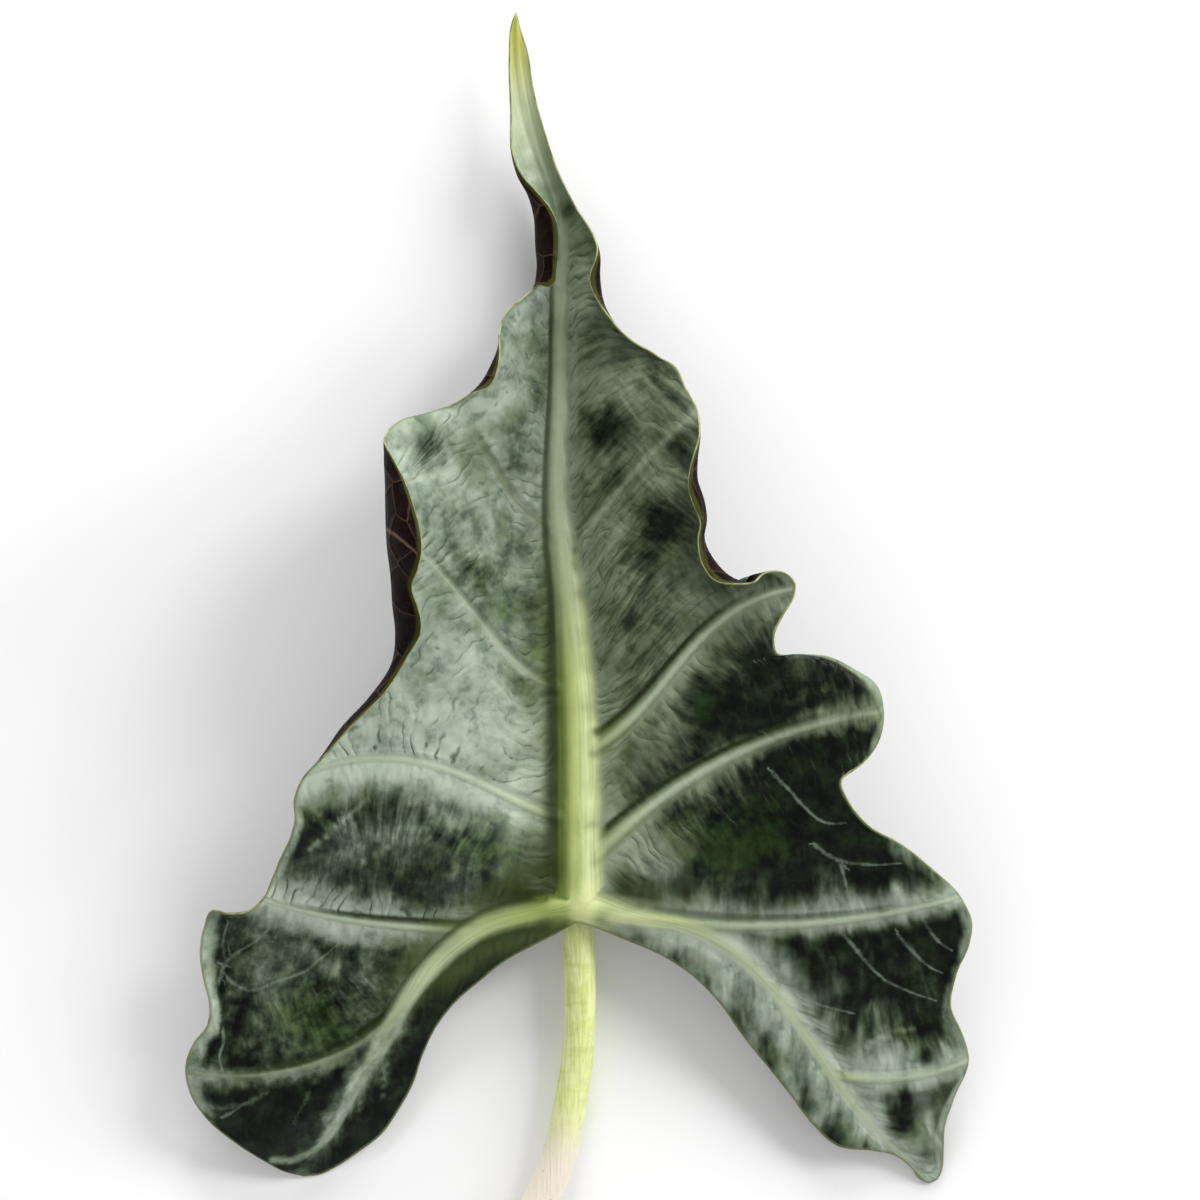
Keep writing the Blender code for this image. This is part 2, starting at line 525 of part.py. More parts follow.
def blade_sheet(halves):
    """The middle surface of the whole blade."""
    sheet = Sheet()
    crest = {}
    for half in halves:
        steps = half.lines(LINE_SPACING)
        points, outward = half.sheet(steps, FLAT_SHARES, CURL_SHARES)
        spread = np.repeat(steps, points.shape[1])
        index = sheet.add(points, reliefs(points.reshape(-1, 3)[:, :2], outward.ravel(), spread, half))
        sheet.join_grid(index, half.side < 0)
        inner = half.inner_at(steps)
        past = inner >= half.meeting - 1e-3
        strip = half.strip(steps[past], STRIP_SHARES)
        outward = np.tile(np.array(STRIP_SHARES) * 2.0, (len(strip), 1))
        spread = np.repeat(steps[past], strip.shape[1])
        strip_index = sheet.add(strip, reliefs(strip.reshape(-1, 3)[:, :2], outward.ravel(), spread, half))
        strip_index = np.concatenate([index[past][:, :1], strip_index], 1)
        sheet.join_grid(strip_index, half.side > 0)
        before = inner <= half.meeting + 1e-3
        crest[half.side] = (index[before][:, 0], inner[before], strip_index[0])
    left, right = crest[-1], crest[1]
    sheet.join_lines(left[0], left[1], right[0], right[1])
    down = np.arange(len(left[2]))
    sheet.join_lines(left[2], down, right[2], down)
    sheet.weld()
    return sheet


def new_material(name, colour, roughness):
    material = bpy.data.materials.new(name)
    material.use_nodes = True
    shader = material.node_tree.nodes["Principled BSDF"]
    shader.inputs["Base Color"].default_value = (*colour, 1.0)
    shader.inputs["Roughness"].default_value = roughness
    shader.inputs["Metallic"].default_value = 0.0
    return material


def new_object(name, points, faces, material):
    """A mesh object in metres from points in millimetres."""
    mesh = bpy.data.meshes.new(name)
    mesh.from_pydata([tuple(p * MM) for p in points], [], [tuple(int(i) for i in f) for f in faces])
    mesh.shade_smooth()
    mesh.materials.append(material)
    made = bpy.data.objects.new(name, mesh)
    bpy.context.scene.collection.objects.link(made)
    return made


def tube(path, along, sides):
    """Points and faces of a closed tube along a path of X, Y, Z and radius, with flat ends."""
    centre = path[:, :3]
    across = np.cross(along, (0.0, 0.0, 1.0))
    across /= np.linalg.norm(across, axis=1, keepdims=True)
    up = np.cross(across, along)
    turn = np.arange(sides) * 2 * math.pi / sides
    ring = np.cos(turn)[None, :, None] * across[:, None] + np.sin(turn)[None, :, None] * up[:, None]
    points = (centre[:, None] + path[:, 3][:, None, None] * ring).reshape(-1, 3)
    faces = [tuple(range(sides))]
    for i in range(len(path) - 1):
        for j in range(sides):
            low, high = i * sides, (i + 1) * sides
            after = (j + 1) % sides
            faces.append((low + j, high + j, high + after, low + after))
    faces.append(tuple(reversed(range((len(path) - 1) * sides, len(path) * sides))))
    return points, faces


def stalk_path(start, end):
    """Points and directions of the stalk's path between two distances along it."""
    keys = steps_along(STALK)
    at = np.linspace(start, end, 1 + int(math.ceil((end - start) / STALK_STEP)))
    ahead = smooth(keys, np.array(STALK), np.minimum(at + TINY_STEP, keys[-1]))[:, :3]
    behind = smooth(keys, np.array(STALK), np.maximum(at - TINY_STEP, 0.0))[:, :3]
    along = (ahead - behind) / np.linalg.norm(ahead - behind, axis=1, keepdims=True)
    return smooth(keys, np.array(STALK), at), along


def add_blade(material):
    """The blade with its two sides, joined to the short stub of the stalk."""
    left = Half(-1, MARGIN_LEFT, LOBE_RIB_LEFT, SINUS_LEFT, RIBS_LEFT, SLOPES_LEFT, SINUS_SLOPE_LEFT)
    right = Half(1, MARGIN_RIGHT, LOBE_RIB_RIGHT, SINUS_RIGHT, RIBS_RIGHT, SLOPES_RIGHT, SINUS_SLOPE_RIGHT)
    blade = new_object("leaf_blade", *blade_sheet([left, right]).closed(), material)
    stub = new_object("stalk_stub", *tube(*stalk_path(0.0, STUB_LENGTH), STALK_SIDES), material)
    stub.hide_render = True
    stub.display_type = "WIRE"
    join = blade.modifiers.new("stalk_stub", "BOOLEAN")
    join.operation = "UNION"
    join.solver = "EXACT"
    join.object = stub
    return blade, stub


def add_petiole(material):
    """The stalk from just past the stub to its cut."""
    path = stalk_path(STUB_LENGTH + STALK_GAP, steps_along(STALK)[-1])
    return new_object("petiole", *tube(*path, STALK_SIDES), material)


def move_to_frame(pieces):
    """Puts the origin under the middle of the leaf, on the surface that it rests on."""
    corners = np.array([v.co for piece in pieces for v in piece.data.vertices])
    low, high = corners.min(0), corners.max(0)
    origin = Vector(((low[0] + high[0]) / 2, (low[1] + high[1]) / 2, low[2]))
    for piece in pieces:
        piece.data.transform(Matrix.Translation(-origin))


def main():
    for existing in list(bpy.data.objects):
        bpy.data.objects.remove(existing, do_unlink=True)
    blade, stub = add_blade(new_material("blade_green", (0.13, 0.2, 0.12), 0.42))
    petiole = add_petiole(new_material("petiole_pale_green", (0.62, 0.74, 0.36), 0.45))
    move_to_frame([blade, stub, petiole])


main()
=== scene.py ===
"""Looks of the alocasia leaf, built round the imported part.

The blade's tables and functions are those of the part's source, run with finer lines and a few more
points at the end of the right lobe. Each point of the finer mesh also gets marks, such as its distance
from the ribs, that drive the materials.
"""

import math

import bpy
import numpy as np
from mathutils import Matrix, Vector


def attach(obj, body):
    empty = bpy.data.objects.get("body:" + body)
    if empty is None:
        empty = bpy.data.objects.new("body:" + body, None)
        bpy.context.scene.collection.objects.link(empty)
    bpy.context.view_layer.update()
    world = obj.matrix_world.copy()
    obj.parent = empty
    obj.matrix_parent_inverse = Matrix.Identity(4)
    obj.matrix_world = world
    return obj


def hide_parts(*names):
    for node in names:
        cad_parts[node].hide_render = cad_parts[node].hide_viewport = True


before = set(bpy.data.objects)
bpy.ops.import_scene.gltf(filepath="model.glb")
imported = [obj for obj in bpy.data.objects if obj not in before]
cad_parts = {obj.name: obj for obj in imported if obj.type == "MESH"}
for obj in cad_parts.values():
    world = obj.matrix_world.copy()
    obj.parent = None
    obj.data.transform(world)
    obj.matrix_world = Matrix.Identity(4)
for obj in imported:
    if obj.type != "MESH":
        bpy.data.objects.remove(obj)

MM = 0.001

# Where the frame's origin lies in the tables below, in millimetres.
ORIGIN = np.array([-0.0351, 68.0239, 0.8])

# The view: what it is centred on, how wide it is at the leaf, and the lights round that centre.
VIEW_X = 0.0056
VIEW_Y = 0.0095
VIEW_WIDTH = 0.3
VIEW_HEIGHT = 0.02
CAMERA_HEIGHT = 1.5
CAMERA_REACH = 20.0
SENSOR = 36.0
FLOOR_HALF_WIDTH = 3.0
FLOOR_CORNERS = ((-1, -1), (1, -1), (1, 1), (-1, 1))
LIGHTS = [
    ("key", (2.01, 1.69, 1.84), 1.2, 40.0), ("side", (2.87, 0.77, 1.20), 1.2, 31.0),
    ("rear", (0.0, 2.97, 1.20), 1.2, 76.0),
]

# Strength of the plain light from all round, from below and from above.
WORLD_LOW = 1.24
WORLD_HIGH = 0.33

# Driving dimensions, in millimetres and degrees. X runs to the right, Y to the drip tip, and the
# ribs meet at X = 0, Y = 0 until the leaf is moved to its own frame at the end.
BLADE_THICKNESS = 0.85
EDGE_THICKNESS = 0.5
CREST_HALF_WIDTH = 0.8
RIB_HEIGHT = 1.1
RIB_DEPTH = 1.1
RIB_HALF_WIDTH = 2.6
RIB_END_HALF_WIDTH = 1.2
RIB_TAPER = 0.7
KEEL_SPREAD = 1.25
CREASE_DEPTH = 0.8
QUILT_HEIGHT = 1.3
QUILT_REACH = 40.0
LINE_SPACING = 1.15
FLAT_SHARES = tuple(np.linspace(0.0, 1.0, 52) ** 1.25)
CURL_SHARES = tuple(np.linspace(0.0, 1.0, 15)[1:])
STRIP_SHARES = tuple(np.linspace(0.0, 1.0, 13)[1:])
STRIP_BEND = 0.4
CURL_REACH = 0.6
CREASE_OFFSET = 2.4
STALK_SIDES = 72
STALK_STEP = 0.8
TINY_STEP = 0.1
REST_HEIGHT = 0.8
NOTCH_Y = -3.4
CREST_FADE = 6.0
TIP_LENGTH = 20.0
RIM_BULGE = 0.8

# Creases stop short of the main ribs: where they start and over what distance, in the rib's half widths.
CREASE_START = 0.8
CREASE_SPREAD = 0.5

# Low lumps between the ribs: their height, how far from a rib they stand at full height, how much they
# bend each other, and the length, direction and phase of the waves that they are made of.
PUCKER_HEIGHT = 0.7
PUCKER_CLEAR = 5.0
PUCKER_BEND = 0.8
PUCKERS = [(17.0, 20.0, 0.3), (13.0, 75.0, 1.9), (11.0, 130.0, 4.1), (8.5, 160.0, 2.6), (9.5, 100.0, 5.2)]

# How far from the main ribs the faces are smoothed, over what distance that fades, and how many times.
CALM_REACH = 2.4
CALM_FADE = 1.2
CALM_ROUNDS = 16

# How finely curves are sampled while distances along them are found.
NEAREST_TRIES = 3000
PATH_TRIES = 61
CURL_TRIES = 41
RIB_TRIES = 60
LINE_TRIES = 90
SMALL_TURN = 1e-3
SMALL_LENGTH = 1e-12

# Midrib from the drip tip to where the ribs meet: X, Y and the height of the sheet.
MIDRIB = [
    (-15.5, 225.0, 15.0), (-15.0, 212.0, 12.5), (-13.5, 202.0, 10.5), (-11.5, 194.0, 9.0),
    (-8.0, 184.0, 7.5), (-4.4, 171.0, 5.4), (-4.7, 160.0, 4.0), (-4.9, 148.0, 2.8),
    (-4.9, 130.0, 2.1), (-5.5, 112.0, 2.1), (-4.9, 96.0, 2.9), (-2.8, 80.0, 4.6),
    (-1.2, 58.0, 8.2), (-0.3, 36.0, 11.4), (0.0, 14.0, 14.6), (0.0, 0.0, 16.0),
]

# Midrib by the share of its length: share, half width, height above the blade and depth below it.
MIDRIB_PROFILE = [
    (0.0, 1.0, 0.3, 0.4), (0.12, 1.6, 1.3, 0.6), (0.35, 2.2, 1.9, 1.0), (0.5, 2.8, 2.3, 1.5),
    (0.62, 3.8, 3.0, 1.9), (0.77, 5.0, 3.2, 2.2), (1.0, 5.8, 2.8, 2.6),
]

# The same for the rib of a posterior lobe.
LOBE_RIB_PROFILE = [(0.0, 4.4, 1.5, 2.2), (0.3, 3.4, 1.2, 1.8), (0.7, 2.2, 0.7, 1.0), (1.0, 1.0, 0.2, 0.3)]

# Ribs of the two posterior lobes, from where the ribs meet to the end of the lobe.
LOBE_RIB_RIGHT = [
    (0.0, 0.0, 16.0), (12.0, -1.8, 16.6), (30.0, -5.0, 16.2), (45.0, -15.5, 14.4),
    (59.5, -34.5, 11.2), (69.5, -49.5, 8.4), (80.0, -61.0, 4.8), (88.75, -70.0, 1.3),
]
LOBE_RIB_LEFT = [
    (0.0, 0.0, 16.0), (-10.0, -0.6, 16.6), (-24.0, -4.6, 16.4), (-39.0, -17.4, 14.6),
    (-50.0, -34.5, 11.6), (-59.0, -50.0, 7.8), (-65.8, -61.5, 4.0), (-69.5, -68.25, 1.3),
]

# Margin from the drip tip to the end of the posterior lobe, as seen from above: X, Y, how far the
# edge curls up (down where negative) in degrees, and the width of blade that takes the curl.
MARGIN_RIGHT = [
    (-15.5, 225.0, 0, 1.0), (-14.8, 222.0, 20, 1.0), (-12.9, 216.0, 30, 1.2), (-11.1, 205.0, 30, 1.6),
    (-8.4, 195.0, 25, 2.5), (-4.9, 185.0, 15, 3.5), (-0.3, 176.0, 10, 4.5),
    (3.75, 169.5, 25, 5.0), (5.3, 164.5, 80, 5.5), (5.3, 158.5, 130, 6.5),
    (6.5, 151.5, 125, 6.5), (11.0, 144.5, 60, 6.0), (20.0, 138.5, 5, 7.0),
    (24.5, 135.5, -10, 8.0), (27.0, 130.0, -15, 8.0), (29.8, 124.5, -5, 7.0),
    (30.3, 119.5, 60, 7.0), (29.5, 112.0, 128, 8.5), (29.5, 107.5, 138, 9.5),
    (31.2, 102.0, 138, 9.5), (31.8, 97.5, 122, 8.0), (31.2, 93.0, 120, 8.0),
    (33.9, 87.0, 138, 10.5), (39.5, 82.3, 135, 11.0), (43.5, 81.8, 90, 8.5),
    (46.0, 84.0, 35, 6.0), (50.2, 84.5, 25, 5.0), (53.6, 82.0, 15, 5.0),
    (53.6, 78.8, 10, 5.0), (50.8, 73.8, 60, 4.5), (48.5, 68.5, 85, 4.5),
    (49.3, 64.5, 20, 5.0), (56.0, 64.0, -20, 6.0), (62.3, 63.3, -45, 7.0),
    (69.3, 59.8, -62, 8.5), (74.0, 56.5, -68, 9.0), (76.0, 50.0, -65, 8.5),
    (74.6, 42.0, -40, 7.0), (70.3, 36.6, -10, 6.0), (65.4, 32.5, 25, 6.0),
    (67.4, 27.3, 15, 6.0), (72.3, 21.5, -10, 6.0), (80.5, 16.7, -20, 7.0),
    (88.3, 10.5, -22, 7.0), (95.2, 3.7, -25, 7.0), (98.3, -3.0, -20, 6.5),
    (97.7, -8.3, 0, 6.0), (94.5, -16.3, 28, 6.0), (93.5, -25.0, 32, 6.0),
    (96.3, -31.0, 0, 6.0), (98.3, -38.0, -22, 6.0), (94.6, -48.5, 0, 5.0),
    (92.4, -56.0, 18, 4.5), (92.3, -62.5, 0, 3.0), (91.9, -67.0, 0, 2.0), (90.8, -69.2, 0, 1.5),
    (88.75, -70.0, 0, 1.0),
]
MARGIN_LEFT = [
    (-15.5, 225.0, 0, 1.0), (-16.6, 222.0, 20, 1.0), (-17.2, 214.0, 30, 1.2), (-16.8, 200.0, 35, 1.6),
    (-16.5, 190.0, 60, 3.0), (-14.9, 184.0, 85, 4.5), (-12.4, 179.5, 110, 7.0),
    (-10.8, 174.0, 140, 13.0), (-10.4, 167.0, 148, 16.0), (-10.1, 160.0, 125, 13.0),
    (-11.0, 155.8, 60, 7.0), (-14.0, 153.0, 20, 6.0), (-18.0, 149.4, 0, 6.0),
    (-19.5, 145.0, 10, 6.0), (-19.7, 140.5, 80, 7.0), (-21.2, 136.5, 112, 8.0),
    (-24.2, 131.2, 112, 8.0), (-27.4, 128.2, 60, 6.5), (-32.0, 125.8, 5, 6.0),
    (-38.2, 123.6, -15, 6.0), (-44.2, 121.6, -10, 6.0), (-47.0, 118.5, 35, 7.0),
    (-47.2, 113.0, 115, 15.0), (-46.8, 105.0, 148, 25.0), (-46.7, 98.5, 156, 29.0),
    (-46.4, 91.0, 150, 26.0), (-45.6, 83.0, 138, 19.0), (-45.2, 76.0, 146, 21.5),
    (-44.6, 69.5, 142, 19.0), (-45.4, 62.5, 128, 13.0), (-50.8, 53.8, 134, 14.5),
    (-57.8, 46.2, 134, 13.5), (-63.5, 38.2, 100, 9.0), (-68.6, 32.3, 15, 7.0),
    (-70.1, 27.8, -5, 7.0), (-69.9, 23.3, 10, 7.0), (-71.2, 18.5, 5, 7.0),
    (-73.6, 13.7, -5, 7.0), (-75.9, 8.3, 5, 6.0), (-78.4, 3.0, 45, 5.5),
    (-83.0, -0.3, 90, 5.5), (-87.3, -0.6, 80, 5.0), (-91.4, 0.0, 10, 5.0),
    (-93.2, -4.0, -10, 5.0), (-94.3, -10.5, 5, 6.0), (-93.3, -18.0, 22, 6.0),
    (-92.0, -24.0, 30, 6.0), (-92.6, -28.8, 12, 6.0), (-96.0, -33.2, -15, 6.0),
    (-98.3, -39.0, -22, 6.0), (-97.0, -47.0, -15, 6.0), (-93.5, -52.5, -5, 6.0),
    (-86.0, -59.3, 10, 6.0), (-79.3, -64.0, 0, 5.0), (-74.5, -66.8, 0, 3.0),
    (-69.5, -68.25, 0, 1.0),
]

# Middle of the stalk from inside the blade's base to the cut, with its radius. The first part of it,
# up to STUB_LENGTH, belongs to the blade.
STALK = [
    (0.0, 13.0, 13.2, 1.8), (0.0, 6.0, 11.8, 3.2), (0.0, -1.0, 10.1, 3.9), (0.1, -6.0, 9.2, 4.0),
    (0.3, -12.5, 8.5, 4.0), (0.5, -25.0, 7.6, 4.0), (0.0, -37.2, 6.9, 4.0), (-1.3, -46.0, 6.4, 4.1),
    (-2.8, -54.5, 6.0, 4.2), (-5.3, -64.5, 5.6, 4.3), (-8.6, -72.5, 5.4, 4.4), (-12.8, -79.8, 5.4, 4.5),
    (-17.6, -86.4, 5.4, 4.5),
]
STUB_LENGTH = 18.6

# Edge of the sinus between the lobes, from where the ribs meet to the end of the lobe.
SINUS_RIGHT = [
    (5.0, -4.8), (12.0, -7.6), (20.8, -11.4), (28.3, -16.3), (35.8, -23.8), (40.8, -31.0),
    (45.5, -37.0), (53.3, -46.6), (59.0, -54.3), (65.3, -60.0), (74.8, -61.5), (80.5, -62.9),
    (84.3, -65.9), (86.4, -68.9), (88.75, -70.0),
]
SINUS_LEFT = [
    (-4.3, -5.6), (-10.5, -8.8), (-19.3, -13.8), (-24.3, -17.9), (-30.5, -23.2), (-35.8, -30.0),
    (-39.5, -37.8), (-41.6, -44.2), (-45.4, -51.2), (-49.7, -57.4), (-55.5, -62.0),
    (-61.5, -66.0), (-65.5, -67.9), (-69.5, -68.25),
]

# Lateral ribs: their start, two points that bend them, and their end at the margin, each as X, Y.
# Those numbered in LATERAL stand out of the blade. The others only steer the lines near the tip.
RIBS_RIGHT = [
    [(-4.0, 163.0), (-1.5, 166.0), (1.0, 168.0), (3.75, 169.5)],
    [(-6.4, 122.0), (0.0, 134.0), (10.0, 141.0), (20.0, 138.5)],
    [(-2.0, 84.0), (4.5, 100.0), (13.5, 110.0), (29.8, 124.5)],
    [(-0.8, 38.0), (24.0, 50.0), (26.0, 76.0), (53.6, 80.5)],
    [(0.0, 9.0), (20.0, 32.0), (46.0, 46.0), (76.0, 50.0)],
    [(20.0, -3.0), (45.0, -5.6), (70.0, -3.6), (95.2, 3.7)],
    [(64.5, -42.0), (76.0, -44.0), (88.0, -43.0), (98.3, -38.0)],
]
RIBS_LEFT = [
    [(-4.0, 163.0), (-6.0, 165.0), (-8.0, 167.0), (-10.4, 167.0)],
    [(-6.4, 118.0), (-13.0, 126.0), (-15.0, 138.0), (-19.7, 142.5)],
    [(-5.4, 95.0), (-22.0, 102.0), (-20.0, 118.0), (-34.0, 125.2)],
    [(-1.8, 55.0), (-17.0, 54.0), (-28.0, 84.0), (-46.7, 95.0)],
    [(-0.6, 22.0), (-18.0, 24.0), (-34.0, 46.0), (-66.0, 35.3)],
    [(-26.0, -5.8), (-42.0, -4.0), (-60.0, -3.6), (-78.4, 3.0)],
    [(-43.8, -24.0), (-56.0, -39.0), (-76.0, -44.0), (-98.0, -41.0)],
]
LATERAL = (2, 3, 4, 5, 6)

# Slope of the blade away from its rib, by the distance along the margin as a share of its length:
# share, slope at the rib and slope where the curl starts, in degrees.
SLOPES_RIGHT = [
    (0.00, 5, 5), (0.08, 28, 36), (0.16, 32, 40), (0.26, 28, 30), (0.31, 26, 26), (0.40, 25, 24),
    (0.48, 22, 18), (0.56, 20, 12), (0.62, 17, 6), (0.69, 14, 10), (0.76, 6, 10), (0.80, 3, 9),
    (0.86, 5, 4), (0.91, 9, -3), (1.00, 4, -4),
]
SLOPES_LEFT = [
    (0.00, 5, 5), (0.08, 30, 44), (0.17, 34, 48), (0.25, 32, 36), (0.32, 32, 32), (0.43, 32, 28),
    (0.52, 28, 24), (0.62, 22, 14), (0.68, 13, 12), (0.72, 6, 11), (0.80, 4, 6), (0.88, 9, -3),
    (1.00, 4, -4),
]
SINUS_SLOPE_RIGHT = -6.0
SINUS_SLOPE_LEFT = -22.0


def steps_along(points):
    """Distance along the points from the first, in plan."""
    plan = np.asarray(points, float)[:, :2]
    return np.concatenate([[0.0], np.cumsum(np.hypot(*np.diff(plan, axis=0).T))])


def smooth(keys, values, at):
    """Cubic through the values at the keys, with each tangent set by the two sides' slopes."""
    keys = np.asarray(keys, float)
    values = np.asarray(values, float)
    values = values[:, None] if values.ndim == 1 else values
    gap = np.diff(keys)[:, None]
    slope = np.diff(values, axis=0) / gap
    tangent = np.empty_like(values)
    tangent[0], tangent[-1] = slope[0], slope[-1]
    tangent[1:-1] = (slope[:-1] * gap[1:] + slope[1:] * gap[:-1]) / (gap[1:] + gap[:-1])
    at = np.clip(np.asarray(at, float), keys[0], keys[-1])
    i = np.clip(np.searchsorted(keys, at, side="right") - 1, 0, len(keys) - 2)
    width = gap[i]
    t = ((at - keys[i])[:, None]) / width
    out = (
        (2 * t**3 - 3 * t**2 + 1) * values[i]
        + (t**3 - 2 * t**2 + t) * width * tangent[i]
        + (3 * t**2 - 2 * t**3) * values[i + 1]
        + (t**3 - t**2) * width * tangent[i + 1]
    )
    return out if out.shape[1] > 1 else out[:, 0]


def steady(keys, values, at):
    """Cubic through rising values that never turns back."""
    keys = np.asarray(keys, float)
    values = np.asarray(values, float)
    gap = np.diff(keys)
    slope = np.diff(values) / gap
    tangent = np.concatenate([[slope[0]], np.zeros(len(slope) - 1), [slope[-1]]])
    both = (slope[:-1] > 0) & (slope[1:] > 0)
    tangent[1:-1][both] = 2 * slope[:-1][both] * slope[1:][both] / (slope[:-1] + slope[1:])[both]
    at = np.clip(np.asarray(at, float), keys[0], keys[-1])
    i = np.clip(np.searchsorted(keys, at, side="right") - 1, 0, len(keys) - 2)
    t = (at - keys[i]) / gap[i]
    return (
        (2 * t**3 - 3 * t**2 + 1) * values[i]
        + (t**3 - 2 * t**2 + t) * gap[i] * tangent[i]
        + (3 * t**2 - 2 * t**3) * values[i + 1]
        + (t**3 - t**2) * gap[i] * tangent[i + 1]
    )


def nearest_step(points, target):
    """Distance along a smooth curve through the points of its place nearest to the target."""
    keys = steps_along(points)
    at = np.linspace(0, keys[-1], NEAREST_TRIES)
    plan = smooth(keys, np.asarray(points, float)[:, :2], at)
    return at[np.argmin(np.hypot(plan[:, 0] - target[0], plan[:, 1] - target[1]))]


def bezier(corners, t):
    """Points of a cubic with the four corners, which may differ for each line."""
    t = np.asarray(t, float)[..., None]
    a, b, c, d = corners
    return (1 - t) ** 3 * a + 3 * t * (1 - t) ** 2 * b + 3 * t**2 * (1 - t) * c + t**3 * d


# Silver of the upper face by the share of the margin: share, near the rib and at the margin.
SILVER_LEFT = [
    (0.00, 0.90, 0.90), (0.10, 0.90, 0.90), (0.25, 0.74, 0.88), (0.31, 0.76, 1.00), (0.45, 0.72, 0.86),
    (0.52, 0.88, 1.04), (0.58, 0.96, 1.14), (0.62, 0.84, 0.86), (0.65, 0.50, 0.22), (0.70, 0.42, 0.10),
    (0.75, 0.42, 0.28), (0.82, 0.38, 0.26), (0.87, 0.25, 0.15), (0.90, 0.10, 0.02), (1.00, 0.00, 0.00),
]
SILVER_RIGHT = [
    (0.00, 0.90, 0.90), (0.10, 0.95, 0.85), (0.18, 0.92, 0.70), (0.24, 0.80, 0.46), (0.28, 0.74, 0.44),
    (0.31, 0.80, 0.62), (0.35, 0.78, 0.44), (0.40, 0.74, 0.38), (0.46, 0.76, 0.46), (0.50, 0.72, 0.46),
    (0.55, 0.62, 0.20), (0.60, 0.50, 0.02), (0.64, 0.46, -0.06), (0.70, 0.44, -0.12), (0.76, 0.30, -0.02),
    (0.80, 0.28, 0.00), (0.86, 0.20, 0.05), (0.93, 0.50, 0.55), (1.00, 0.50, 0.65),
]

# Silver of the narrow strip beside the sinus by the share of the lobe's rib, in the same way.
STRIP_LEFT = [(0.0, 0.34, 0.02), (0.15, 0.32, 0.0), (0.5, 0.34, 0.0), (0.7, 0.25, 0.0), (1.0, 0.1, 0.0)]
STRIP_RIGHT = [(0.0, 0.70, 0.50), (0.2, 0.90, 0.55), (0.5, 0.95, 0.62), (0.75, 0.85, 0.42), (1.0, 0.6, 0.5)]

# Silver band along each lateral rib: its width on the tip's side at the start and the end, the same
# on the other side, and how strong it is at the start and the end.
BANDS_RIGHT = [
    (4.0, 3.5, 5.5, 5.0, 0.95, 0.75), (2.5, 2.0, 7.5, 7.5, 0.95, 0.75), (4.0, 5.0, 6.0, 5.0, 0.85, 0.65),
    (7.5, 6.5, 3.5, 4.0, 1.05, 1.05), (8.0, 9.0, 4.0, 5.5, 0.95, 1.00),
]
BANDS_LEFT = [
    (3.0, 3.0, 3.5, 3.0, 0.85, 0.80), (3.0, 3.0, 4.0, 4.0, 1.05, 1.00), (4.5, 5.0, 7.5, 10.0, 1.30, 1.40),
    (7.0, 8.5, 7.0, 6.5, 1.10, 1.25), (2.0, 2.5, 3.5, 3.5, 0.55, 0.70),
]

# The pale line on each lateral rib: its half width at the start and the end, how plain it is there,
# and how dark the painted shade in the fold beside it is.
LINES_RIGHT = [
    (1.6, 1.0, 0.22, 0.12, 0.20), (1.8, 0.9, 0.90, 0.60, 1.00), (1.9, 1.0, 1.00, 0.15, 1.00),
    (1.6, 0.7, 0.80, 0.60, 0.60), (1.2, 0.9, 0.60, 0.50, 0.10),
]
LINES_LEFT = [
    (0.8, 0.5, 0.70, 0.15, 0.40), (0.7, 0.5, 0.50, 0.35, 0.50), (1.2, 0.8, 0.60, 0.50, 0.40),
    (1.3, 0.5, 0.75, 0.55, 0.95), (1.2, 0.6, 0.60, 0.45, 0.95),
]

# The same for the rib of a lobe, whose band is that wide on the margin's side and on the sinus's.
LOBE_BAND_RIGHT = (9.0, 8.0, 6.5, 5.5, 1.15, 1.05)
LOBE_BAND_LEFT = (6.0, 4.0, 4.2, 3.5, 1.00, 0.45)

# How dark the painted shade in the fold on the margin's side of a lobe's rib is, and how plain the rib's
# own line is, by the share of the rib.
LOBE_FOLD_LEFT = [(0.0, 0.9, 1.0), (0.30, 0.85, 0.9), (0.46, 0.7, 0.7), (0.52, 0.0, 0.3), (0.75, 0.0, 0.0)]
LOBE_FOLD_RIGHT = [(0.0, 0.3, 1.0), (0.10, 0.1, 0.9), (0.2, 0.0, 0.75), (0.70, 0.0, 0.55), (1.0, 0.0, 0.3)]
